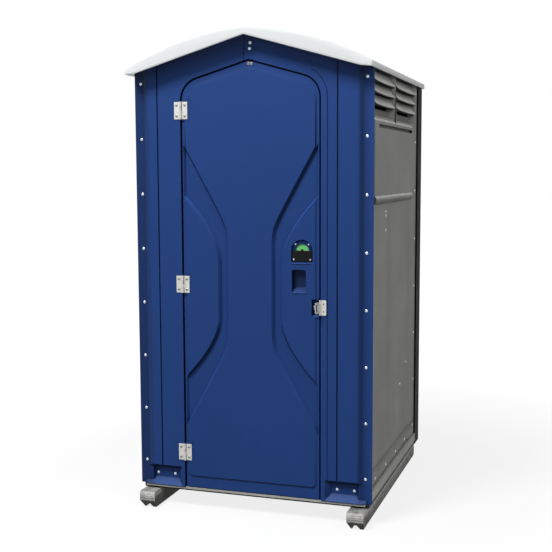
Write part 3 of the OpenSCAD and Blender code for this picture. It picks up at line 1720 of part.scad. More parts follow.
module urinal() {
  color([0.22, 0.23, 0.24])
  difference() {
    translate([0, urinal_y, 0]) difference() {
      intersection() {
        translate([0, 200, 0]) rotate([90, 0, 0]) linear_extrude(400) urinal_profile(0);
        translate([0, 0, urinal_z0 - 10]) linear_extrude(urinal_h + 20) urinal_plan(0);
      }
      intersection() {
        translate([0, 200, 0]) rotate([90, 0, 0]) linear_extrude(400) urinal_cavity();
        translate([0, 0, urinal_z0 - 10]) linear_extrude(urinal_h + 40) urinal_plan(5);
      }
    }
    translate([drain_x, urinal_y, urinal_z0 - 20]) cylinder(r = drain_r - 4, h = 60);
    urinal_screw_places() rivet_hole(24);
  }
}

module urinal_cavity() {
  wall_x = fixture_x;
  polygon(concat(
    [[wall_x - 6, urinal_z0 + urinal_h + 15], [wall_x - 6, urinal_z0 + 11], [wall_x - 72, urinal_z0 + 5]],
    arc(wall_x - urinal_d + 5 + 60, urinal_z0 + 77, 60, 235, 180, 6),
    [[wall_x - urinal_d + 8, urinal_z0 + 245], [wall_x - urinal_d + 8, urinal_z0 + urinal_h + 15]]
  ));
}

module urinal_screw_places() {
  for (dy = [-85, 85]) translate([fixture_x - 6, urinal_y + dy, urinal_z0 + urinal_h - 30])
    rotate([0, 0, -90]) children();
}

module urinal_screws() {
  color("silver") urinal_screw_places() small_screw(9);
}

// Drain from the urinal's foot down and back into the tank
module urinal_drain() {
  bend = 50;
  wall = 3;
  top = urinal_z0 - seat;
  color([0.1, 0.1, 0.11])
  difference() {
    union() {
      translate([drain_x, urinal_y, drain_z + bend]) cylinder(r = drain_r, h = top - drain_z - bend);
      translate([drain_x, urinal_y, top - 14]) cylinder(r = drain_r + 5, h = 14);
      drain_bend(drain_r, bend);
      translate([drain_x, urinal_y + bend, drain_z]) rotate([-90, 0, 0])
        cylinder(r = drain_r, h = tank_y0 + 40 - urinal_y - bend);
    }
    translate([drain_x, urinal_y, drain_z + bend - eps]) cylinder(r = drain_r - wall, h = 1000);
    drain_bend(drain_r - wall, bend);
    translate([drain_x, urinal_y + bend - eps, drain_z]) rotate([-90, 0, 0])
      cylinder(r = drain_r - wall, h = 1000);
  }
}

module drain_bend(r, bend) {
  translate([drain_x, urinal_y + bend, drain_z + bend]) rotate([0, 90, 0]) rotate([0, 0, -90])
    rotate_extrude(angle = 90, $fn = 48) translate([bend, 0]) circle(r, $fn = 32);
}

// ---------- paper holder ----------

holder_y = (dish_spans[1][0] + dish_spans[1][1]) / 2;
holder_z = floor_z + 640;
holder_w = 130;
holder_reach = 80;

module paper_bracket() {
  wall_x = -fixture_x;
  color("silver")
  difference() {
    union() {
      box(wall_x, wall_x + 3, holder_y - holder_w / 2 - 3, holder_y + holder_w / 2 + 3,
        holder_z - 40, holder_z + 40);
      for (s = [-1, 1]) translate([0, holder_y + s * (holder_w / 2 + 1.5), 0])
        slab_y(-1.5, 1.5) {
          translate([wall_x, holder_z - 20]) square([holder_reach, 40]);
          translate([wall_x + holder_reach, holder_z]) circle(20, $fn = 48);
        }
    }
    translate([wall_x + holder_reach, holder_y - 200, holder_z]) rotate([-90, 0, 0])
      cylinder(r = 6 + fit, h = 400, $fn = 32);
    paper_screw_places() rivet_hole(20);
  }
}

module paper_screw_places() {
  for (dy = [-45, 45], dz = [-28, 28]) translate([-fixture_x + 3, holder_y + dy, holder_z + dz])
    rotate([0, 0, 90]) children();
}

module paper_screws() {
  color("silver") paper_screw_places() small_screw(6);
}

module paper_spindle() {
  wall_x = -fixture_x;
  color([0.75, 0.76, 0.78]) translate([wall_x + holder_reach, holder_y, holder_z]) rotate([-90, 0, 0]) {
    translate([0, 0, -holder_w / 2 + 1]) cylinder(r = 11, h = holder_w - 2, $fn = 32);
    translate([0, 0, -holder_w / 2 - 5]) cylinder(r = 6, h = holder_w + 10, $fn = 32);
    translate([0, 0, -holder_w / 2 - 7]) cylinder(r = 9, h = 3, $fn = 32);
    translate([0, 0, holder_w / 2 + 4]) cylinder(r = 9, h = 3, $fn = 32);
  }
}

// ---------- drawing ----------

skid_left();
skid_right();
skid_bolts();
base_pan();
hinge_jamb();
latch_jamb();
side_panel_left();
side_panel_right();
rear_panel();
roof();
front_rivets();
pocket_rivets();
seam_rivets();
side_rivets();
rear_rivets();
base_rivets();
wall_rivets();
door_outer_skin();
door_inner_skin();
door_grab_handle();
handle_screws();
coat_hook();
hinge_jamb_leaves();
hinge_door_leaves();
hinge_pins();
hinge_springs();
hinge_jamb_rivets();
hinge_door_rivets();
indicator_bezel();
indicator_cover();
indicator_screws();
indicator_disc();
latch_spindle();
latch_lever();
latch_paddle();
strike_plate();
hasp_plate();
hasp_leaf();
hasp_pin();
hasp_staple();
hasp_rivets();
waste_tank();
seat_hinge_block();
seat_hinge_rod();
toilet_seat();
seat_lid();
vent_pipe();
vent_collar();
vent_cap();
urinal();
urinal_drain();
urinal_screws();
paper_bracket();
paper_spindle();
paper_screws();
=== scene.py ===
import json
import math

import bpy
from mathutils import Matrix, Vector


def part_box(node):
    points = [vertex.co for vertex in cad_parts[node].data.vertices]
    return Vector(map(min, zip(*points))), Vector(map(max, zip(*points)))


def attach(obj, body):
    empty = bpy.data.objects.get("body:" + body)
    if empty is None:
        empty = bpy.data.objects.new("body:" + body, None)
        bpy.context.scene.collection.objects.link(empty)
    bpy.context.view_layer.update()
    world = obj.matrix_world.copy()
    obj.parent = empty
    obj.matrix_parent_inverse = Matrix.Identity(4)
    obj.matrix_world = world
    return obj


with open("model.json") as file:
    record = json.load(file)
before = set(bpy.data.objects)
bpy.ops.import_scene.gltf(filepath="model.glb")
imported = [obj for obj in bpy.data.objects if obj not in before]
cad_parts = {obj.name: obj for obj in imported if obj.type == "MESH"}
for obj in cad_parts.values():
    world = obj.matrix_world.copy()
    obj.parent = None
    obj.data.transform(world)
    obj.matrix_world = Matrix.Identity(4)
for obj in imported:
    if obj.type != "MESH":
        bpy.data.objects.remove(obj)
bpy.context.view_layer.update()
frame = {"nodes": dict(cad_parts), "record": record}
NODES = frame["nodes"]
SLOT_OF = {part["node"]: part["material_slot"] for part in frame["record"]["subparts"]}

# Lengths are in metres, X runs across the front, Y from front to back and Z up. MM turns millimetres into metres.
MM = 0.001


# ---------- shader nodes ----------

# Inputs and output of a Mix node that mixes colours
MIX_FACTOR, MIX_A, MIX_B, MIX_RESULT = 0, 6, 7, 2
# Most values of a noise lie between these
NOISE_SPREAD = (0.3, 0.7)
# Cosines of the turn at which an edge starts to show as rubbed, and at which it shows in full
EDGE_TURN = (0.997, 0.93)
# How far up a surface faces where it starts to count as an underside, and where it counts in full
UNDERSIDE = (-0.05, -0.32)
# Half the width of the soft rim of a toned box
BOX_RIM = 2 * MM
EDGE_SAMPLES, ROUND_SAMPLES, SHADE_SAMPLES = 4, 6, 6
WHITE = (1, 1, 1, 1)


def srgb(*rgb):
    """Linear colour of an 8-bit sRGB one."""
    out = []
    for value in rgb:
        v = value / 255
        out.append(v / 12.92 if v <= 0.04045 else ((v + 0.055) / 1.055) ** 2.4)
    return (*out, 1)


def grey(tone):
    """Linear grey."""
    return (tone, tone, tone, 1)


class Net:
    """The nodes of a material or of the world, made in few words."""

    def __init__(self, owner, output="OutputMaterial"):
        owner.use_nodes = True
        self.owner = owner
        self.tree = owner.node_tree
        self.tree.nodes.clear()
        self.out = self.new(output)
        self.coords = self.new("TexCoord").outputs["Object"]

    def new(self, kind, inputs=(), **settings):
        """A node with these settings, and with each input linked to a socket or set to a value."""
        node = self.tree.nodes.new("ShaderNode" + kind)
        for key, value in settings.items():
            setattr(node, key, value)
        for key, value in dict(inputs).items():
            if isinstance(value, bpy.types.NodeSocket):
                self.tree.links.new(value, node.inputs[key])
            else:
                node.inputs[key].default_value = value
        return node

    def show(self, shader):
        """Ends the net with this shader's node and gives back the material or world."""
        self.tree.links.new(shader.outputs[0], self.out.inputs[0])
        return self.owner

    def finish(self, inputs):
        """Ends the net with a principled shader."""
        return self.show(self.new("BsdfPrincipled", inputs))

    # values

    def math(self, operation, a, b=0.0):
        return self.new("Math", {0: a, 1: b}, operation=operation).outputs[0]

    def span(self, value, low, high, to_low, to_high):
        """value mapped from low..high to to_low..to_high, and held at the ends."""
        return self.new("MapRange", {"Value": value, "From Min": low, "From Max": high,
                                     "To Min": to_low, "To Max": to_high}).outputs[0]

    def noise(self, scale, detail=2.0, rough=0.5, stretch=(1, 1, 1), distortion=0.0):
        vector = self.coords
        if stretch != (1, 1, 1):
            vector = self.new("Mapping", {"Vector": vector, "Scale": stretch}).outputs[0]
        return self.new("TexNoise", {"Vector": vector, "Scale": scale, "Detail": detail,
                                     "Roughness": rough, "Distortion": distortion}).outputs["Fac"]

    def varied(self, low, high, *noise):
        """A value that wanders between low and high with a noise."""
        return self.span(self.noise(*noise), *NOISE_SPREAD, low, high)

    def place(self, axis):
        """How far along an axis the surface lies."""
        return self.new("SeparateXYZ", {0: self.coords}).outputs[axis]

    def facing_up(self):
        """1 on level tops, 0 on walls, -1 on level undersides."""
        normal = self.new("NewGeometry").outputs["Normal"]
        return self.new("SeparateXYZ", {0: normal}).outputs["Z"]

    def upward(self, low=0.35, high=0.85):
        """0 on walls and below, 1 on surfaces that face up."""
        return self.span(self.facing_up(), low, high, 0, 1)

    def edges(self, radius):
        """0 on flat places, up to 1 where the surface turns within the radius."""
        smooth = self.new("Bevel", {"Radius": radius}, samples=EDGE_SAMPLES).outputs[0]
        flat = self.new("NewGeometry").outputs["Normal"]
        cosine = self.new("VectorMath", {0: smooth, 1: flat}, operation="DOT_PRODUCT").outputs["Value"]
        return self.span(cosine, *EDGE_TURN, 0, 1)

    def seen(self):
        """1 where the camera looks, straight or through a reflection, and 0 to the light on the cabin."""
        ray = self.new("LightPath").outputs
        return self.math("MAXIMUM", self.math("MAXIMUM", ray["Is Camera Ray"], ray["Is Glossy Ray"]),
                         ray["Is Transmission Ray"])

    # tones that paint shade, and a few lighter bands, into a colour; each is 1 where it changes nothing

    def painted_underside_shade(self, darkest):
        """Painted shade, down to darkest on surfaces that face down, where no light falls."""
        return self.span(self.facing_up(), *UNDERSIDE, 1, darkest)

    def crevice(self, reach, darkest, closed=0.35, clear=0.9):
        """Painted shade, down to darkest in grooves, gaps and corners narrower than the reach."""
        shade = self.new("AmbientOcclusion", {"Distance": reach}, samples=SHADE_SAMPLES).outputs["AO"]
        return self.span(shade, closed, clear, darkest, 1)

    def across(self, low, high, to_low, to_high):
        """A tone that changes between two places across the cabin."""
        return self.span(self.place("X"), low, high, to_low, to_high)

    def behind(self, face, back, darkest):
        """Painted shade, down to darkest from the face of a piece to what lies further back."""
        return self.span(self.place("Y"), face, back, 1, darkest)

    def band(self, low, full_low, full_high, high, tone):
        """tone in a band of heights with soft limits."""
        within = self.math("MULTIPLY", self.span(self.place("Z"), low, full_low, 0, 1),
                           self.span(self.place("Z"), full_high, high, 1, 0))
        return self.span(within, 0, 1, 1, tone)

    def inside(self, low, high, tone):
        """tone in a box; a corner's None leaves that side open."""
        within = 1
        for axis in range(3):
            for limit, ends in ((low[axis], (0, 1)), (high[axis], (1, 0))):
                if limit is not None:
                    side = self.span(self.place(axis), limit - BOX_RIM, limit + BOX_RIM, *ends)
                    within = self.math("MULTIPLY", within, side)
        return self.span(within, 0, 1, 1, tone)

    # colours and relief

    def mix(self, factor, a, b, blend="MIX"):
        return self.new("Mix", {MIX_FACTOR: factor, MIX_A: a, MIX_B: b},
                        data_type="RGBA", blend_type=blend).outputs[MIX_RESULT]

    def scaled(self, colour, factor):
        """colour times a factor that is a socket."""
        tone = self.new("CombineXYZ", {0: factor, 1: factor, 2: factor}).outputs[0]
        return self.mix(1, colour, tone, "MULTIPLY")

    def bump(self, height, distance, strength=1.0, below=None):
        inputs = {"Height": height, "Distance": distance, "Strength": strength}
        if below is not None:
            inputs["Normal"] = below
        return self.new("Bump", inputs).outputs[0]

    def formed(self, wave, grain, below=None):
        """Relief of formed sheet: slow waves and a hair-cell grain."""
        waves = self.bump(self.noise(3.2, 1, 0.4), wave, below=below)
        return self.bump(self.noise(620, 2, 0.55), 0.45 * MM, grain, waves)


def material_net(name):
    return Net(bpy.data.materials.new(name))


# ---------- materials ----------

# Width of a rubbed edge on sheet and on a runner
RUB_SHEET, RUB_RUNNER = 2.5 * MM, 6 * MM
# Heights at which splashes from the ground start to thin out, and at which they end
SPLASH = (0.1, 0.62)
# Reach of the shade in a groove, below the eaves and below the cabin's floor
GROOVE_REACH, EAVES_REACH, FLOOR_REACH = 0.016, 0.13, 0.3
# Openness at which the shade below the eaves and below the floor is full, and at which it ends
EAVES_SHADE, FLOOR_SHADE = (0.5, 0.86), (0.1, 0.28)
# How much lighter a rubbed edge is, and what is added where the sheet is nearly black
RUB_GAIN, RUB_LIFT, NEARLY_BLACK = 1.9, 0.02, 0.05
# Heights of a runner's paler shoulder and of its sole, darkened as painted shade, each as a band, and of the top
# of the dried mud
SHOULDER, SOLE, MUD_TOP = (0.05, 0.064, 0.07, 0.078), (-0.1, -0.09, 0.034, 0.039), 0.055
WORN_PALE, PALE_SHOULDER, DRIED_MUD = srgb(214, 213, 208), srgb(226, 225, 220), (0.045, 0.04, 0.034, 1)
# Radius of the roof's corners, and the share of its look that is light from behind
ROOF_ROUNDING, ROOF_GLOW = 9 * MM, 0.42


def moulded(name, colour, roughness, grain=0.12, mottle=0.05, wear_and_highlight=0.25, scuff=0.25, gloss=0.2,
            dust_and_highlight=0.25, dust_and_highlight_colour=(0.32, 0.32, 0.31, 1), lie=(0.35, 0.85), crevice=0.5, eaves=1, hang=1,
            deep=None, boxes=(), bands=(), shaded=()):
    """Formed polyethylene sheet: hair-cell grain, slow waves, pale rubbed edges, dust, scuffs, and painted light
    and shade.

    lie says how far up a surface faces where the dust, and on some sheets a painted highlight, starts to lie, and
    where it lies in full. The rubbed edges are worn paler, and where they are strong they are also a painted
    highlight. crevice, eaves and hang are the darkest painted shade in grooves, below the roof and on undersides.
    deep, boxes, bands and shaded are the settings of the tones behind, inside, band and across, which paint
    shade, and a few lighter bands, on single places.
    """
    net = material_net(name)
    base = net.scaled(colour, net.math("ADD", net.varied(1 - mottle, 1 + mottle, 1.7, 4, 0.55),
                                       net.varied(-mottle / 3, mottle / 3, 11, 3, 0.6)))
    # rubbed edges: worn paler, and where strong also a painted highlight along lips and beads
    rub = net.math("MULTIPLY", net.edges(RUB_SHEET), net.span(net.noise(38, 3, 0.7), 0.42, 0.62, 0, wear_and_highlight))
    lift = RUB_LIFT if max(colour[:3]) < NEARLY_BLACK else 0
    pale = tuple(min(1, c * RUB_GAIN + lift) for c in colour[:3]) + (1,)
    base = net.mix(rub, base, pale)
    # dust, and on some sheets a painted highlight, where a surface faces up, and a splash zone at the foot
    splash = net.math("MULTIPLY", net.span(net.place("Z"), *SPLASH, 1, 0),
                      net.span(net.noise(6.5, 5, 0.65, (1, 1, 0.35)), 0.48, 0.7, 0, scuff))
    lying_dust_and_highlight = net.math("MULTIPLY", net.upward(*lie), net.varied(dust_and_highlight * 0.6, dust_and_highlight, 21, 4, 0.6))
    base = net.mix(net.math("MAXIMUM", splash, lying_dust_and_highlight), base, dust_and_highlight_colour)
    # shade
    tones = []
    if crevice < 1:
        tones.append(net.crevice(GROOVE_REACH, crevice))
    if eaves < 1:
        tones.append(net.crevice(EAVES_REACH, eaves, *EAVES_SHADE))
    if deep:
        tones.append(net.behind(*deep))
    if hang < 1:
        tones.append(net.painted_underside_shade(hang))
    tones += [net.inside(*box) for box in boxes]
    tones += [net.band(*band) for band in bands]
    tones += [net.across(*strip) for strip in shaded]
    for tone in tones:
        base = net.scaled(base, tone)
    # long faint scratches
    scratch = net.span(net.noise(60, 2, 0.5, (1, 1, 0.06), 0.6), 0.62, 0.7, 0, 1)
    rough = net.math("ADD", net.varied(roughness - 0.05, roughness + 0.06, 5, 4, 0.6),
                     net.math("MULTIPLY", scratch, 0.06))
    return net.finish({"Base Color": base, "Roughness": rough, "Normal": net.formed(2.4 * MM, grain * 4),
                       "IOR": 1.5, "Specular IOR Level": gloss})


def metal(name, colour, roughness, brushed=(1, 1, 1), spots=0.25):
    """Plated or bare metal: fine lines or spangle, and dull spots."""
    net = material_net(name)
    lines = net.noise(420, 3, 0.6, brushed)
    base = net.scaled(colour, net.varied(0.86, 1.1, 55, 4, 0.7))
    stain = net.math("MULTIPLY", net.span(net.noise(90, 4, 0.7), 0.55, 0.75, 0, 1), spots)
    base = net.mix(stain, base, (0.28, 0.26, 0.24, 1))
    rough = net.math("ADD", net.span(lines, *NOISE_SPREAD, roughness - 0.06, roughness + 0.08),
                     net.math("MULTIPLY", stain, 0.3))
    return net.finish({"Base Color": base, "Metallic": 0.9, "Roughness": rough,
                       "Normal": net.bump(lines, 0.2 * MM, 0.15)})


def weathered(name, colour):
    """Runner worn by dragging: long streaks, blotches, rubbed bright edges, a paler shoulder, dried mud at the
    foot, painted shade on the sole and below the cabin's floor.
    """
    net = material_net(name)
    streak = net.noise(46, 5, 0.65, (1, 0.05, 1), 0.4)
    blotch = net.span(net.noise(17, 4, 0.62, (1, 0.9, 1)), 0.4, 0.6, 0.42, 1.25)
    base = net.scaled(net.scaled(colour, net.span(streak, *NOISE_SPREAD, 0.62, 1.3)), blotch)
    rub = net.math("MULTIPLY", net.edges(RUB_RUNNER), net.span(net.noise(30, 3, 0.6), 0.3, 0.6, 0.35, 0.9))
    base = net.mix(rub, base, WORN_PALE)
    shoulder = net.math("MULTIPLY", net.math("SUBTRACT", 1, net.band(*SHOULDER, 0)),
                        net.span(net.noise(34, 4, 0.7), 0.36, 0.56, 0.25, 0.95))
    base = net.mix(shoulder, base, PALE_SHOULDER)
    mud = net.math("MULTIPLY", net.span(net.place("Z"), 0, MUD_TOP, 1, 0),
                   net.span(net.noise(24, 4, 0.7), 0.36, 0.62, 0.3, 0.9))
    base = net.mix(mud, base, DRIED_MUD)
    # painted shade on the sole, and more below the cabin's floor
    base = net.scaled(base, net.band(*SOLE, 0.66))
    base = net.scaled(base, net.crevice(FLOOR_REACH, 0.16, *FLOOR_SHADE))
    relief = net.bump(streak, 1.6 * MM, 0.7, net.bump(net.noise(150, 3, 0.7), 0.7 * MM, 0.5))
    return net.finish({"Base Color": base, "Roughness": net.span(streak, *NOISE_SPREAD, 0.5, 0.72),
                       "Normal": relief, "Specular IOR Level": 0.2})


def half_disc(name):
    """Turning disc of the indicator: green above the spindle, red below it."""
    net = material_net(name)
    low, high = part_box("indicator_disc")
    middle = (low.z + high.z) / 2
    line = 0.4 * MM
    upper = net.span(net.place("Z"), middle - line, middle + line, 0, 1)
    base = net.scaled(net.mix(upper, srgb(188, 30, 26), srgb(104, 196, 112)),
                      net.varied(0.86, 1.08, 160, 3, 0.6))
    return net.finish({"Base Color": base, "Roughness": net.varied(0.38, 0.5, 40),
                       "Normal": net.bump(net.noise(700), 0.2 * MM, 0.2)})


def thin_roof(name, colour):
    """Translucent white sheet with rounded corners: some of the daylight comes through into the cabin."""
    net = material_net(name)
    smear = net.math("MULTIPLY", net.upward(),
                     net.span(net.noise(9, 5, 0.65, (1, 0.25, 1)), 0.45, 0.72, 0, 0.2))
    base = net.mix(smear, net.scaled(colour, net.varied(0.985, 1.01, 2.3, 4, 0.55)), srgb(190, 188, 180))
    corner = net.new("Bevel", {"Radius": ROOF_ROUNDING}, samples=ROUND_SAMPLES).outputs[0]
    relief = net.formed(3 * MM, 0.4, corner)
    sheet = net.new("BsdfPrincipled", {"Base Color": base, "Roughness": 0.5, "Normal": relief,
                                       "Specular IOR Level": 0.15})
    glow = net.new("BsdfTranslucent", {"Color": base, "Normal": relief})
    return net.show(net.new("MixShader", {0: ROOF_GLOW, 1: sheet.outputs[0], 2: glow.outputs[0]}))


def blue(name, **places):
    """The blue sheet of the front, with a bright blue painted highlight on tops and painted shade in grooves and
    on undersides.
    """
    return moulded(name, srgb(33, 64, 124), 0.48, mottle=0.035, scuff=0.05, gloss=0.14, dust_and_highlight=0.36,
                   dust_and_highlight_colour=srgb(62, 104, 186), lie=(0.2, 0.7), crevice=0.34, hang=0.42, **places)


# The finish of each material slot, and of the scene's own rivet pins
MADE = {
    "blue_sheet": blue("blue_sheet"),
    # grey sheet: near-white painted highlight on tops and rubbed lips, painted shade below the roof and under the
    # foot's step
    "grey_sheet": moulded("grey_sheet", srgb(156, 156, 154), 0.55, wear_and_highlight=0.7, scuff=0.12, gloss=0.06,
                          dust_and_highlight=1, dust_and_highlight_colour=srgb(250, 250, 246), lie=(0.15, 0.6), crevice=0.4,
                          eaves=0.3, hang=0.5,
                          bands=[(0.2, 0.236, 0.2425, 0.2445, 0.62), (0.16, 0.166, 0.18, 0.2, 1.12)]),
    "black_sheet": moulded("black_sheet", srgb(21, 21, 22), 0.6, mottle=0.14, wear_and_highlight=0.5, scuff=0.2,
                           gloss=0.03, dust_and_highlight=0.5, dust_and_highlight_colour=srgb(84, 82, 78), lie=(0.1, 0.6), crevice=0.4),
    "roof_sheet": thin_roof("roof_sheet", srgb(247, 248, 248)),
    # base: painted shadow on its sides above the runners, behind the front lip, and painted shade on undersides
    "base_plastic": moulded("base_plastic", srgb(176, 176, 172), 0.6, mottle=0.14, wear_and_highlight=0.8, scuff=0.5,
                            gloss=0.08, dust_and_highlight=0.6, dust_and_highlight_colour=srgb(206, 204, 196), lie=(0.1, 0.6), hang=0.4,
                            boxes=[((None, -0.548, None), (None, None, 0.108), 0.16)],
                            bands=[(0.116, 0.122, 0.15, 0.158, 1.25)]),
    "black_plastic": moulded("black_plastic", srgb(14, 16, 15), 0.42, grain=0.2, wear_and_highlight=0.3, scuff=0,
                             gloss=0.12),
    "bezel_plastic": moulded("bezel_plastic", srgb(18, 38, 96), 0.45, grain=0.08, wear_and_highlight=0.3, scuff=0,
                             gloss=0.1),
    "tank_plastic": moulded("tank_plastic", srgb(66, 68, 71), 0.45, dust_and_highlight_colour=srgb(120, 120, 116)),
    "seat_plastic": moulded("seat_plastic", srgb(34, 35, 37), 0.34, grain=0.06, scuff=0, gloss=0.35),
    "pipe_plastic": moulded("pipe_plastic", srgb(52, 52, 54), 0.5, scuff=0),
    "collar_rubber": moulded("collar_rubber", srgb(28, 28, 28), 0.7, grain=0.25, scuff=0, gloss=0.1),
    "skid_plastic": weathered("skid_plastic", srgb(152, 151, 149)),
    "disc_green": half_disc("disc_green"),
    "zinc_steel": metal("zinc_steel", (0.5, 0.5, 0.49, 1), 0.42),
    "hinge_steel": metal("hinge_steel", (0.58, 0.57, 0.55, 1), 0.5, brushed=(1, 1, 0.05), spots=0.16),
    "aluminium_rivet": metal("aluminium_rivet", (0.56, 0.62, 0.68, 1), 0.36, spots=0.1),
    "rivet_pin": metal("rivet_pin", (0.5, 0.52, 0.54, 1), 0.5),
    "hinge_pin": metal("hinge_pin", (0.03, 0.03, 0.032, 1), 0.6),
}
# Nodes whose finish differs from their slot's: painted shade on the left flange, on the slope beside the right
# flange and below the roof on both jambs, and in the door's recesses, the most round the indicator and the pull
OF_NODE = {
    "hinge_jamb": blue("hinge_jamb_sheet", eaves=0.22, shaded=[(-0.507, -0.482, 0.56, 1)]),
    "latch_jamb": blue("latch_jamb_sheet", eaves=0.22,
                       shaded=[(0.486, 0.506, 1, 0.6), (0.51, 0.55, 1, 1.7)]),
    "door_outer_skin": blue("door_sheet", deep=(-0.549, -0.534, 0.5),
                            boxes=[((0.184, -0.5605, 1.02), (0.2895, None, 1.3), 0.6)]),
    "hasp_staple": metal("staple_steel", (0.3, 0.3, 0.29, 1), 0.45),
    **dict.fromkeys(("hinge_jamb_rivets", "hinge_door_rivets", "hasp_rivets"),
                    metal("steel_rivet", (0.34, 0.33, 0.32, 1), 0.5)),
}

for name, piece in NODES.items():
    for material_slot in piece.material_slots:
        material_slot.material = OF_NODE.get(name, MADE[SLOT_OF[name]])


# ---------- rounded edges on the CAD pieces ----------

# Width of the rounding by material slot
EDGE = {
    "blue_sheet": 2.2, "grey_sheet": 2.2, "black_sheet": 2.2, "roof_sheet": 3, "base_plastic": 2,
    "skid_plastic": 4, "black_plastic": 0.8, "bezel_plastic": 0.8, "tank_plastic": 3, "seat_plastic": 2,
    "pipe_plastic": 0.6, "collar_rubber": 0.6, "disc_green": 0.3, "zinc_steel": 0.4, "hinge_steel": 0.5,
    "aluminium_rivet": 0.3,
}
EDGE_SEGMENTS = 2
# Edges that turn by more are rounded, and faces that turn by less are one flat face
SHARP_TURN, FLAT_TURN = math.radians(28), math.radians(0.4)


def soften(piece, width):
    """Rounds the sharp edges of a CAD piece with modifiers."""
    piece.modifiers.new("weld", "WELD").merge_threshold = 0.02 * MM
    flat = piece.modifiers.new("flat", "DECIMATE")
    flat.decimate_type = "DISSOLVE"
    flat.angle_limit = FLAT_TURN
    round_off = piece.modifiers.new("round", "BEVEL")
    round_off.width = width
    round_off.segments = EDGE_SEGMENTS
    round_off.limit_method = "ANGLE"
    round_off.angle_limit = SHARP_TURN
    piece.modifiers.new("even", "WEIGHTED_NORMAL").keep_sharp = True
    piece.data.polygons.foreach_set("use_smooth", [True] * len(piece.data.polygons))


for name, piece in NODES.items():
    soften(piece, EDGE[SLOT_OF[name]] * MM)


# ---------- small pieces that the solids leave out ----------

def new_piece(name, verts, faces, material, body, made=None):
    """A smooth piece on a body, with the slot's finish or another one of MADE."""
    mesh = bpy.data.meshes.new(name)
    mesh.from_pydata(verts, [], faces)
    mesh.polygons.foreach_set("use_smooth", [True] * len(mesh.polygons))
    mesh.materials.append(MADE[made or material])
    piece = bpy.data.objects.new(name, mesh)
    bpy.context.scene.collection.objects.link(piece)
    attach(piece, body)
    return piece


def lathe(centre, axis, profile, steps):
    """Verts and faces of (radius, height) pairs turned about the axis, closed at the far end."""
    side = axis.orthogonal().normalized()
    other = axis.cross(side)
    verts, faces = [], []
    for radius, height in profile:
        for i in range(steps):
            turn = 2 * math.pi * i / steps
            spoke = side * math.cos(turn) + other * math.sin(turn)
            verts.append(centre + axis * height + spoke * radius)
    for ring in range(len(profile) - 1):
        for i in range(steps):
            j = (i + 1) % steps
            faces.append((ring * steps + i, ring * steps + j, (ring + 1) * steps + j, (ring + 1) * steps + i))
    last = (len(profile) - 1) * steps
    faces.append(tuple(last + i for i in range(steps)))
    return verts, faces


def loose_parts(mesh):
    """The corners of each part of a mesh that no edge joins to the others."""
    owner = list(range(len(mesh.vertices)))

    def root(i):
        while owner[i] != i:
            owner[i] = owner[owner[i]]
            i = owner[i]
        return i

    for edge in mesh.edges:
        a, b = (root(v) for v in edge.vertices)
        owner[a] = b
    parts = {}
    for vert in mesh.vertices:
        parts.setdefault(root(vert.index), []).append(vert.co)
    return list(parts.values())


def solid_boxes(mesh, slack=0.01 * MM):
    """Boxes of the solids: loose parts whose boxes meet belong to one solid."""
    boxes = []
    for corners in loose_parts(mesh):
        low = Vector([min(c[i] for c in corners) for i in range(3)])
        high = Vector([max(c[i] for c in corners) for i in range(3)])
        again = True
        while again:
            again = False
            for box in boxes:
                if all(low[i] <= box[1][i] + slack and high[i] >= box[0][i] - slack for i in range(3)):
                    low = Vector([min(low[i], box[0][i]) for i in range(3)])
                    high = Vector([max(high[i], box[1][i]) for i in range(3)])
                    boxes.remove(box)
                    again = True
                    break
        boxes.append((low, high))
    return boxes


# Radius and height of a broken pin above the head, in millimetres
PIN_PROFILE = [(2.6, -0.4), (2.6, 0), (2.1, 0.4), (1.9, 0.1), (0.7, 0.3)]
PIN_STEPS = 14
# Ways that a rivet's head can face; SIDES is away from the cabin's middle on either wall
FRONT, REAR, SIDES = (0, -1, 0), (0, 1, 0), (1, 0, 0)
RIVETS = [
    ("rivet_pins_cabin", "cabin", "rivet_pin", {
        "front_rivets": FRONT, "pocket_rivets": FRONT, "seam_rivets": FRONT, "side_rivets": SIDES,
        "base_rivets": SIDES, "wall_rivets": SIDES, "rear_rivets": REAR}),
    ("rivet_pins_jamb", "cabin", "hinge_pin", {"hinge_jamb_rivets": FRONT, "hasp_rivets": FRONT}),
    ("rivet_pins_door", "door", "hinge_pin", {"hinge_door_rivets": FRONT}),
]


def rivet_pins(name, body, made, nodes):
    """Broken pin in the middle of each blind rivet's head."""
    profile = [(radius * MM, height * MM) for radius, height in PIN_PROFILE]
    verts, faces = [], []
    for node, way in nodes.items():
        for low, high in solid_boxes(NODES[node].data):
            middle = (low + high) / 2
            axis = Vector(way)
            if way == SIDES:
                axis *= math.copysign(1, middle.x)
            reach = abs((high - low).dot(axis)) / 2
            more, rings = lathe(middle + axis * reach, axis, profile, PIN_STEPS)
            faces += [tuple(v + len(verts) for v in ring) for ring in rings]
            verts += more
    new_piece(name, verts, faces, "zinc_steel", body, made)


for pins in RIVETS:
    rivet_pins(*pins)


# Ledges pressed along the foot of the recesses: ends across the cabin, height above the ground, how tall
# they are, the node they lie on and its body
LEDGES = [
    ("indicator_lip", 0.1865, 0.2875, 1.1634, 6 * MM, "door_outer_skin", "door"),
    ("pull_lip", 0.1945, 0.2665, 1.0335, 6 * MM, "door_outer_skin", "door"),
    ("hasp_lip", 0.3225, 0.3435, 0.9315, 7 * MM, "latch_jamb", "cabin"),
]
LEDGE_PROUD, LEDGE_SUNK = 3 * MM, 0.4 * MM
LEDGE_LENGTHS, LEDGE_STEPS = 13, 8
# Share of the full size at the very end of a ledge, and how fast it grows from there
LEDGE_END, LEDGE_GROWTH = 0.02, 6


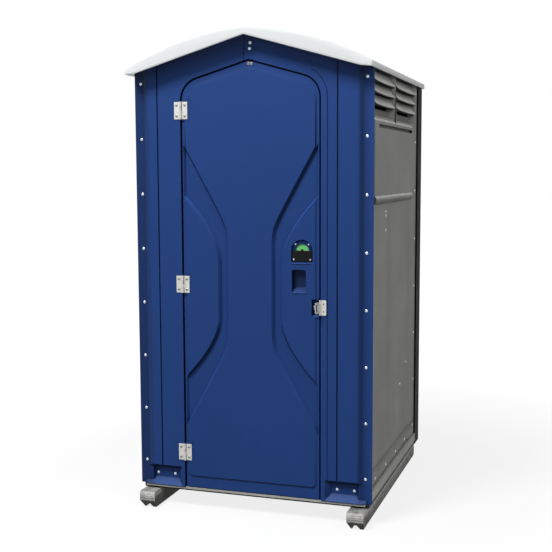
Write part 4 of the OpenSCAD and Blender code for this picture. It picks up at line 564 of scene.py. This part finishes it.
def ledge(name, x0, x1, z, height, node, body):
    """Low rounded ledge with ends that run out."""
    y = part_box(node)[0].y + LEDGE_SUNK
    verts, faces = [], []
    for i in range(LEDGE_LENGTHS):
        along = i / (LEDGE_LENGTHS - 1)
        size = min(1, LEDGE_GROWTH * min(along, 1 - along) + LEDGE_END)
        for j in range(LEDGE_STEPS):
            turn = math.pi * j / (LEDGE_STEPS - 1)
            verts.append((x0 + (x1 - x0) * along, y - LEDGE_PROUD * size * math.sin(turn),
                          z + height / 2 * math.cos(turn)))
    for i in range(LEDGE_LENGTHS - 1):
        for j in range(LEDGE_STEPS - 1):
            a = i * LEDGE_STEPS + j
            faces.append((a, a + 1, a + LEDGE_STEPS + 1, a + LEDGE_STEPS))
    new_piece(name, verts, faces, "blue_sheet", body)


for place in LEDGES:
    ledge(*place)


# Louvres: the wall's plane, the ends of the two banks, and the heights of their hoods
WALL_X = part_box("side_panel_right")[1].x - 8 * MM
BANKS = [(-0.535, -0.0895), (-0.057, 0.441)]
HOODS = (1.860, 1.909, 1.958)
# Section of a hood, out from the wall and up, in millimetres
HOOD_SECTION = [
    (-3.0, -7.2), (0.4, -7.6), (2.0, -5.6), (1.2, -2.0), (-4.0, 2.5), (-9.5, 7.5), (-13.5, 14.0),
    (-15.8, 24.0), (-16.8, 36.0), (-19.2, 36.0), (-18.4, 24.0), (-15.8, 12.5), (-11.0, 4.5), (-6.0, -0.5),
]
# Depth of a bank, and how far its front and rear ends slope in over that depth
BANK_DEPTH, FRONT_RUN, REAR_RUN = 22, 16, 62
# The drip edge at a hood's ends, and how far it bows out and down from there in the middle
ENDS_IN, ENDS_UP, BOW_OUT, BOW_DOWN = 1.5, 3, 4.5, 6
# Shape of the bow along the hood, and how fast it fades with depth
BOW_FULLNESS, BOW_FADE = 0.8, 1.6
HOOD_LENGTHS = 19


def louvre_hoods(name, side):
    """Formed hood over each louvre slot: a rounded drip edge below a sheet that curves back behind the next."""
    verts, faces = [], []
    n = len(HOOD_SECTION)
    for y0, y1 in BANKS:
        for z in HOODS:
            first = len(verts)
            for i in range(HOOD_LENGTHS):
                along = i / (HOOD_LENGTHS - 1)
                for out, rise in HOOD_SECTION:
                    deep = max(0, -out) / BANK_DEPTH
                    front = y0 + FRONT_RUN * deep * MM
                    rear = y1 - REAR_RUN * deep * MM
                    bow = math.sin(math.pi * along) ** BOW_FULLNESS * max(0, 1 - deep * BOW_FADE)
                    verts.append((side * (WALL_X + (out - ENDS_IN + BOW_OUT * bow) * MM),
                                  front + (rear - front) * along,
                                  z + (rise + ENDS_UP - BOW_DOWN * bow) * MM))
            rings = [(i * n + j, i * n + (j + 1) % n, (i + 1) * n + (j + 1) % n, (i + 1) * n + j)
                     for i in range(HOOD_LENGTHS - 1) for j in range(n)]
            rings += [tuple(reversed(range(n))), tuple((HOOD_LENGTHS - 1) * n + j for j in range(n))]
            if side < 0:
                rings = [tuple(reversed(ring)) for ring in rings]
            faces += [tuple(v + first for v in ring) for ring in rings]
    piece = new_piece(name, verts, faces, "grey_sheet", "cabin")
    rounded = piece.modifiers.new("rounded", "SUBSURF")
    rounded.levels = rounded.render_levels = 1


louvre_hoods("louvre_hoods_right", 1)
louvre_hoods("louvre_hoods_left", -1)


# ---------- camera ----------

CAMERA_PLACE = (1.48811, -4.72807, 1.56805)
YAW, PITCH, ROLL = (math.radians(angle) for angle in (-18.1695, -6.0110, -0.2368))
PICTURE_PX, FOCAL_PX = 552, 993.10

forward = Vector((math.sin(YAW) * math.cos(PITCH), math.cos(YAW) * math.cos(PITCH), math.sin(PITCH)))
level = Vector((math.cos(YAW), -math.sin(YAW), 0))
upright = level.cross(forward)
right = level * math.cos(ROLL) + upright * math.sin(ROLL)
up = upright * math.cos(ROLL) - level * math.sin(ROLL)
aim = Matrix((right, up, -forward)).transposed().to_4x4()
lens = bpy.data.cameras.new("camera")
lens.sensor_width = 36
lens.lens = FOCAL_PX / PICTURE_PX * lens.sensor_width
camera = bpy.data.objects.new("camera", lens)
camera.matrix_world = Matrix.Translation(CAMERA_PLACE) @ aim
bpy.context.scene.collection.objects.link(camera)
bpy.context.scene.camera = camera


# ---------- studio ----------

FLOOR_HALF = 40
# Greys of the floor as the cabin's light and as the camera meet it
FLOOR_GREY, FLOOR_SEEN = grey(0.15), grey(0.16)
# White that the camera sees on the floor: its share near the cabin, and where it grows to full white
FLOOR_LIFT, FLOOR_FADE = 0.83, (1.2, 3.2)
WORLD_STRENGTH = 0.3


def studio_floor():
    """Pale floor, white to the camera except where the cabin shades it."""
    mesh = bpy.data.meshes.new("studio_floor")
    r = FLOOR_HALF
    mesh.from_pydata([(-r, -r, 0), (r, -r, 0), (r, r, 0), (-r, r, 0)], [], [(0, 1, 2, 3)])
    floor = bpy.data.objects.new("studio_floor", mesh)
    bpy.context.scene.collection.objects.link(floor)
    net = material_net("studio_floor")
    seen = net.seen()
    away = net.new("VectorMath", {0: net.coords}, operation="LENGTH").outputs["Value"]
    lift = net.math("MULTIPLY", seen, net.span(away, *FLOOR_FADE, FLOOR_LIFT, 1))
    matt = net.new("BsdfDiffuse", {"Color": net.mix(seen, FLOOR_GREY, FLOOR_SEEN)})
    glow = net.new("Emission", {"Color": WHITE, "Strength": lift})
    mesh.materials.append(net.show(net.new("AddShader", {0: matt.outputs[0], 1: glow.outputs[0]})))


def softbox(name, place, aim, size, watts):
    """Square area lamp that faces a point."""
    data = bpy.data.lights.new(name, "AREA")
    data.shape = "RECTANGLE"
    data.size = data.size_y = size
    data.energy = watts
    lamp = bpy.data.objects.new(name, data)
    lamp.location = place
    lamp.rotation_euler = (Vector(aim) - Vector(place)).to_track_quat("-Z", "Y").to_euler()
    bpy.context.scene.collection.objects.link(lamp)


def plain_world():
    """Even pale surroundings, plain white where a ray looks straight at them."""
    world = bpy.data.worlds.new("world")
    bpy.context.scene.world = world
    net = Net(world, "OutputWorld")
    pale, white = (net.new("Background", {"Color": WHITE, "Strength": strength}).outputs[0]
                   for strength in (WORLD_STRENGTH, 1))
    net.show(net.new("MixShader", {0: net.seen(), 1: pale, 2: white}))


studio_floor()
softbox("key", (-1.9, -4.35, 6.5), (0, -0.5, 1.0), 2.2, 490)
softbox("fill", (4.9, -2.9, 4.5), (0.3, 0, 1.1), 2.4, 60)
plain_world()
bpy.context.scene.view_settings.view_transform = "Standard"
